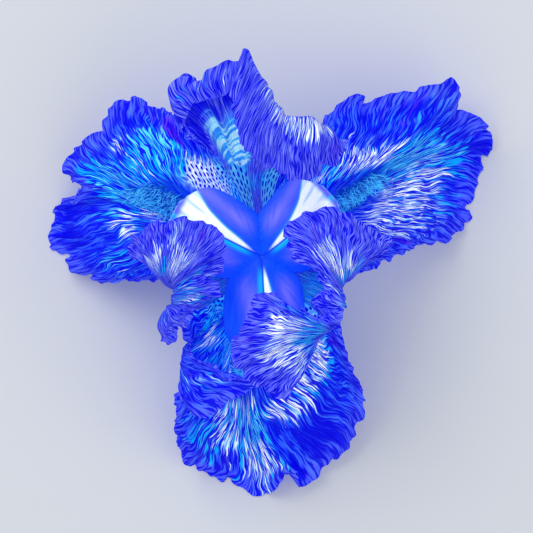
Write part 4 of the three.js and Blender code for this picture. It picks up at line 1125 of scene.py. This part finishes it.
def beard_finish():
    """Hair that is dark at the root and bright at the tip, each in a tone of its own."""
    material, paint, shader = new_material("beard hair")
    colour = paint.over(HAIR_DARK, HAIR_TEAL, paint.mark("tone"))
    tone = paint.ranged(paint.mark("tone"), -0.2, 0.5)
    tip = paint.maths("MULTIPLY", paint.ranged(paint.mark("tip"), 0.15, 0.9), tone)
    glowing(paint, shader, paint.over(colour, HAIR_TIP, tip), roughness=0.5, specular=0.1)
    return material


hairs, hair_inputs = hair_tree()
beard_hair = beard_finish()
for order, side in enumerate(BEARDS):
    bed = bpy.data.objects.new(f"beard_{side}_bed", beard_bed(side))
    bpy.context.scene.collection.objects.link(bed)
    area = sum(polygon.area for polygon in bed.data.polygons)
    grow = bed.modifiers.new("hairs", "NODES")
    grow.node_group = hairs
    grow[hair_inputs["Density"].identifier] = HAIRS_PER_BEARD / area
    grow[hair_inputs["Seed"].identifier] = HAIR_SEED + order
    grow[hair_inputs["Finish"].identifier] = beard_hair
    depsgraph = bpy.context.evaluated_depsgraph_get()
    mesh = bpy.data.meshes.new_from_object(bed.evaluated_get(depsgraph))
    bpy.data.objects.remove(bed)
    mesh.name = f"beard_{side}_hairs"
    piece = bpy.data.objects.new(f"beard_{side}_hairs", mesh)
    bpy.context.scene.collection.objects.link(piece)
    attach(piece, "root")
    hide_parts(f"beard_{side}")

# ---- stamens ---------------------------------------------------------------------------------
# Under each style arm stands one stamen: a pale filament from the throat and a long two-lobed
# anther, slit along its face and dusted with pollen.

FILAMENT_PATH = [[5.4, 41], [7.6, 46.5], [10.5, 50.4], [14, 52.4]]  # distance from the axis, height
FILAMENT_RADIUS = 0.65
FILAMENT_RINGS, FILAMENT_SIDES = 30, 16
ANTHER_RINGS, ANTHER_SIDES = 48, 40
ANTHER_SIZE = (11.5, 2.1, 1.3)  # length, width, height
ANTHER_CENTRE = (20.2, 53.6)  # distance from the axis, height
STAMEN_BEARINGS = {"west": 153.5, "south": -94, "east": 33}


def closed_tube(name, rings):
    """Closed mesh through rings of points that run anticlockwise seen from the last ring."""
    rings = np.asarray(rings, float)
    count, sides = rings.shape[:2]
    ends = [rings[0].mean(axis=0), rings[-1].mean(axis=0)]
    verts = (np.concatenate([rings.reshape(-1, 3), ends]) + AXIS) * MM
    place = np.arange(count * sides).reshape(count, sides)
    after = np.roll(place, -1, axis=1)
    faces = np.stack([place[:-1], after[:-1], after[1:], place[1:]], -1).reshape(-1, 4).tolist()
    first, last = count * sides, count * sides + 1
    faces += [(first, after[0, k], place[0, k]) for k in range(sides)]
    faces += [(last, place[-1, k], after[-1, k]) for k in range(sides)]
    mesh = bpy.data.meshes.new(name)
    mesh.from_pydata(verts.tolist(), [], [tuple(int(v) for v in face) for face in faces])
    mesh.polygons.foreach_set("use_smooth", np.ones(len(faces), bool))
    return mesh


def turned_out(points, bearing):
    """Points given as (out, aside, height) placed at a bearing round the axis."""
    angle = math.radians(bearing)
    out, aside, height = np.moveaxis(np.asarray(points, float), -1, 0)
    x = out * math.cos(angle) - aside * math.sin(angle)
    return np.stack([x, out * math.sin(angle) + aside * math.cos(angle), height], -1)


def filament_rings():
    path = np.array(FILAMENT_PATH)
    places = np.linspace(0, 1, FILAMENT_RINGS)
    line = smooth_curve(path, chord_knots(path), places)
    ahead = np.gradient(line, axis=0)
    ahead /= np.linalg.norm(ahead, axis=1, keepdims=True)
    turns = np.linspace(0, 2 * np.pi, FILAMENT_SIDES, endpoint=False)
    radius = FILAMENT_RADIUS * (1 - 0.35 * places) * (1 - 0.5 * step_between(0.9, 1, places))
    rings = []
    for (out, height), (run, rise), r in zip(line, ahead, radius):
        swing, lift = r * np.cos(turns), r * np.sin(turns)
        rings.append(np.stack([out - lift * rise, -swing, height + lift * run], -1))
    return rings


def anther_rings():
    length, width, height = ANTHER_SIZE
    turns = np.linspace(0, 2 * np.pi, ANTHER_SIDES, endpoint=False)
    rings = []
    for s in np.linspace(-0.985, 0.985, ANTHER_RINGS):
        girth = (1 - abs(s) ** 3.2) ** 0.5
        groove = 1 - 0.34 * np.exp(-(((turns - np.pi / 2) / 0.28) ** 2))
        groove -= 0.16 * np.exp(-(((turns - 3 * np.pi / 2) / 0.3) ** 2))
        aside = -width / 2 * girth * np.cos(turns) * groove
        lift = height / 2 * girth * np.sin(turns) * groove
        out = ANTHER_CENTRE[0] + s * length / 2 + 0 * turns
        rings.append(np.stack([out, aside, ANTHER_CENTRE[1] + lift + 0.1 * math.sin(3 * s)], -1))
    return rings


def plain_skin(name, base, second, scale, blend, roughness):
    """Skin of a small piece: two colours in soft patches, finer where scale (x, y, z) is larger."""
    material, paint, shader = new_material(name)
    place = paint.add("ShaderNodeTexCoord").outputs["Object"]
    noise = paint.noise(paint.vectors("MULTIPLY", place, scale), detail=3)
    patch = paint.ranged(noise[0], 0.38, 0.66)
    colour = paint.over(base, second, paint.maths("MULTIPLY", patch, blend))
    paint.feed(shader.inputs["Base Color"], colour)
    shader.inputs["Roughness"].default_value = roughness
    shader.inputs["Specular IOR Level"].default_value = 0.25
    paint.relief(shader, noise[0], strength=0.4, distance=0.0002)
    return material, paint, shader, colour


FILAMENT_PALE, FILAMENT_BLUE = (0.5, 0.75, 0.95), (0.2, 0.4, 0.9)
ANTHER_PALE, POLLEN = (0.62, 0.78, 0.9), (0.9, 0.92, 0.86)
filament_skin = plain_skin("filament skin", FILAMENT_PALE, FILAMENT_BLUE, (900, 900, 150), 0.6, 0.5)[0]
anther_skin = plain_skin("anther skin", ANTHER_PALE, POLLEN, (3200, 3200, 3200), 0.9, 0.85)[0]
for side, bearing in STAMEN_BEARINGS.items():
    mesh = closed_tube(f"filament_{side}_stalk", turned_out(filament_rings(), bearing))
    new_piece(f"filament_{side}_stalk", mesh, filament_skin, f"filament_{side}")
    mesh = closed_tube(f"anther_{side}_pod", turned_out(anther_rings(), bearing))
    new_piece(f"anther_{side}_pod", mesh, anther_skin, f"anther_{side}")

# ---- ovary, tube and style column ------------------------------------------------------------
# Below the petals the flower narrows to a pale tube and swells again into the green ovary, which
# has six soft ribs and is cut off clean at its foot. The style column rises from the tube and
# carries the arms.

OVARY_PROFILE = np.array([
    [2.6, 0.6], [2.8, 3], [4.3, 5], [5.4, 9], [5.6, 13], [4.8, 17], [3.4, 20],
    [3.1, 23], [3.3, 28], [4.0, 33], [5.2, 37.5], [6.1, 40],
])  # radius, height
THROAT_CUP = np.array([[5.6, 39.9], [4.3, 38.4], [0.6, 37.7]])
COLUMN_PROFILE = np.array([[2.5, 38.7], [2.2, 44], [2.2, 50], [2.8, 53.5], [2.2, 55.2], [0.5, 55.65]])


def lathe_rings(profile, sides, lobes=0.0, lobe_heights=(0, 0)):
    """Rings of a turned form whose sides swell into six soft ribs between two heights."""
    turns = np.linspace(0, 2 * np.pi, sides, endpoint=False)
    rings = []
    for radius, height in profile:
        low, high = lobe_heights
        swell = lobes * step_between(low, low + 4, height) * (1 - step_between(high - 5, high, height))
        r = radius * (1 + swell * (np.cos(6 * turns) + 0.5 * np.cos(3 * turns)))
        rings.append(np.stack([r * np.cos(turns), r * np.sin(turns), height + 0 * turns], -1))
    return rings


def finer(profile, count):
    return smooth_curve(profile, chord_knots(profile), np.linspace(0, 1, count))


OVARY_GREEN, OVARY_LIGHT = (0.10, 0.30, 0.09), (0.20, 0.44, 0.15)
TUBE_BLUE = (0.22, 0.45, 0.72)
CUT_GREEN = (0.55, 0.66, 0.38)
OVARY_SIDES, COLUMN_SIDES = 72, 48
ovary_rings = lathe_rings(finer(OVARY_PROFILE, 80), OVARY_SIDES, lobes=0.045, lobe_heights=(2, 21))
ovary_rings += lathe_rings(finer(THROAT_CUP, 12), OVARY_SIDES)
ovary_skin, ovary_paint, ovary_shader, green = plain_skin(
    "ovary skin", OVARY_GREEN, OVARY_LIGHT, (700, 700, 60), 0.8, 0.45
)
ovary_height = ovary_paint.add("ShaderNodeSeparateXYZ")
ovary_place = ovary_paint.add("ShaderNodeTexCoord")
ovary_paint.feed(ovary_height.inputs[0], ovary_place.outputs["Object"])
tube_share = ovary_paint.ranged(ovary_height.outputs[2], 18 * MM, 36 * MM)
tube_colour = ovary_paint.over(green, TUBE_BLUE, tube_share)
cut_share = ovary_paint.ranged(ovary_height.outputs[2], 0.9 * MM, 0.5 * MM)
tube_colour = ovary_paint.over(tube_colour, CUT_GREEN, cut_share)
ovary_paint.feed(ovary_shader.inputs["Base Color"], tube_colour)
mesh = closed_tube("ovary_and_tube_body", ovary_rings)
new_piece("ovary_and_tube_body", mesh, ovary_skin, "ovary_and_tube")

COLUMN_PALE, COLUMN_BLUE = (0.30, 0.55, 0.95), (0.08, 0.2, 0.9)
column_skin = plain_skin("column skin", COLUMN_PALE, COLUMN_BLUE, (900, 900, 70), 0.8, 0.45)[0]
column_rings = lathe_rings(finer(COLUMN_PROFILE, 40), COLUMN_SIDES, lobes=0.05, lobe_heights=(37, 54))
mesh = closed_tube("style_column_body", column_rings)
new_piece("style_column_body", mesh, column_skin, "style_column")
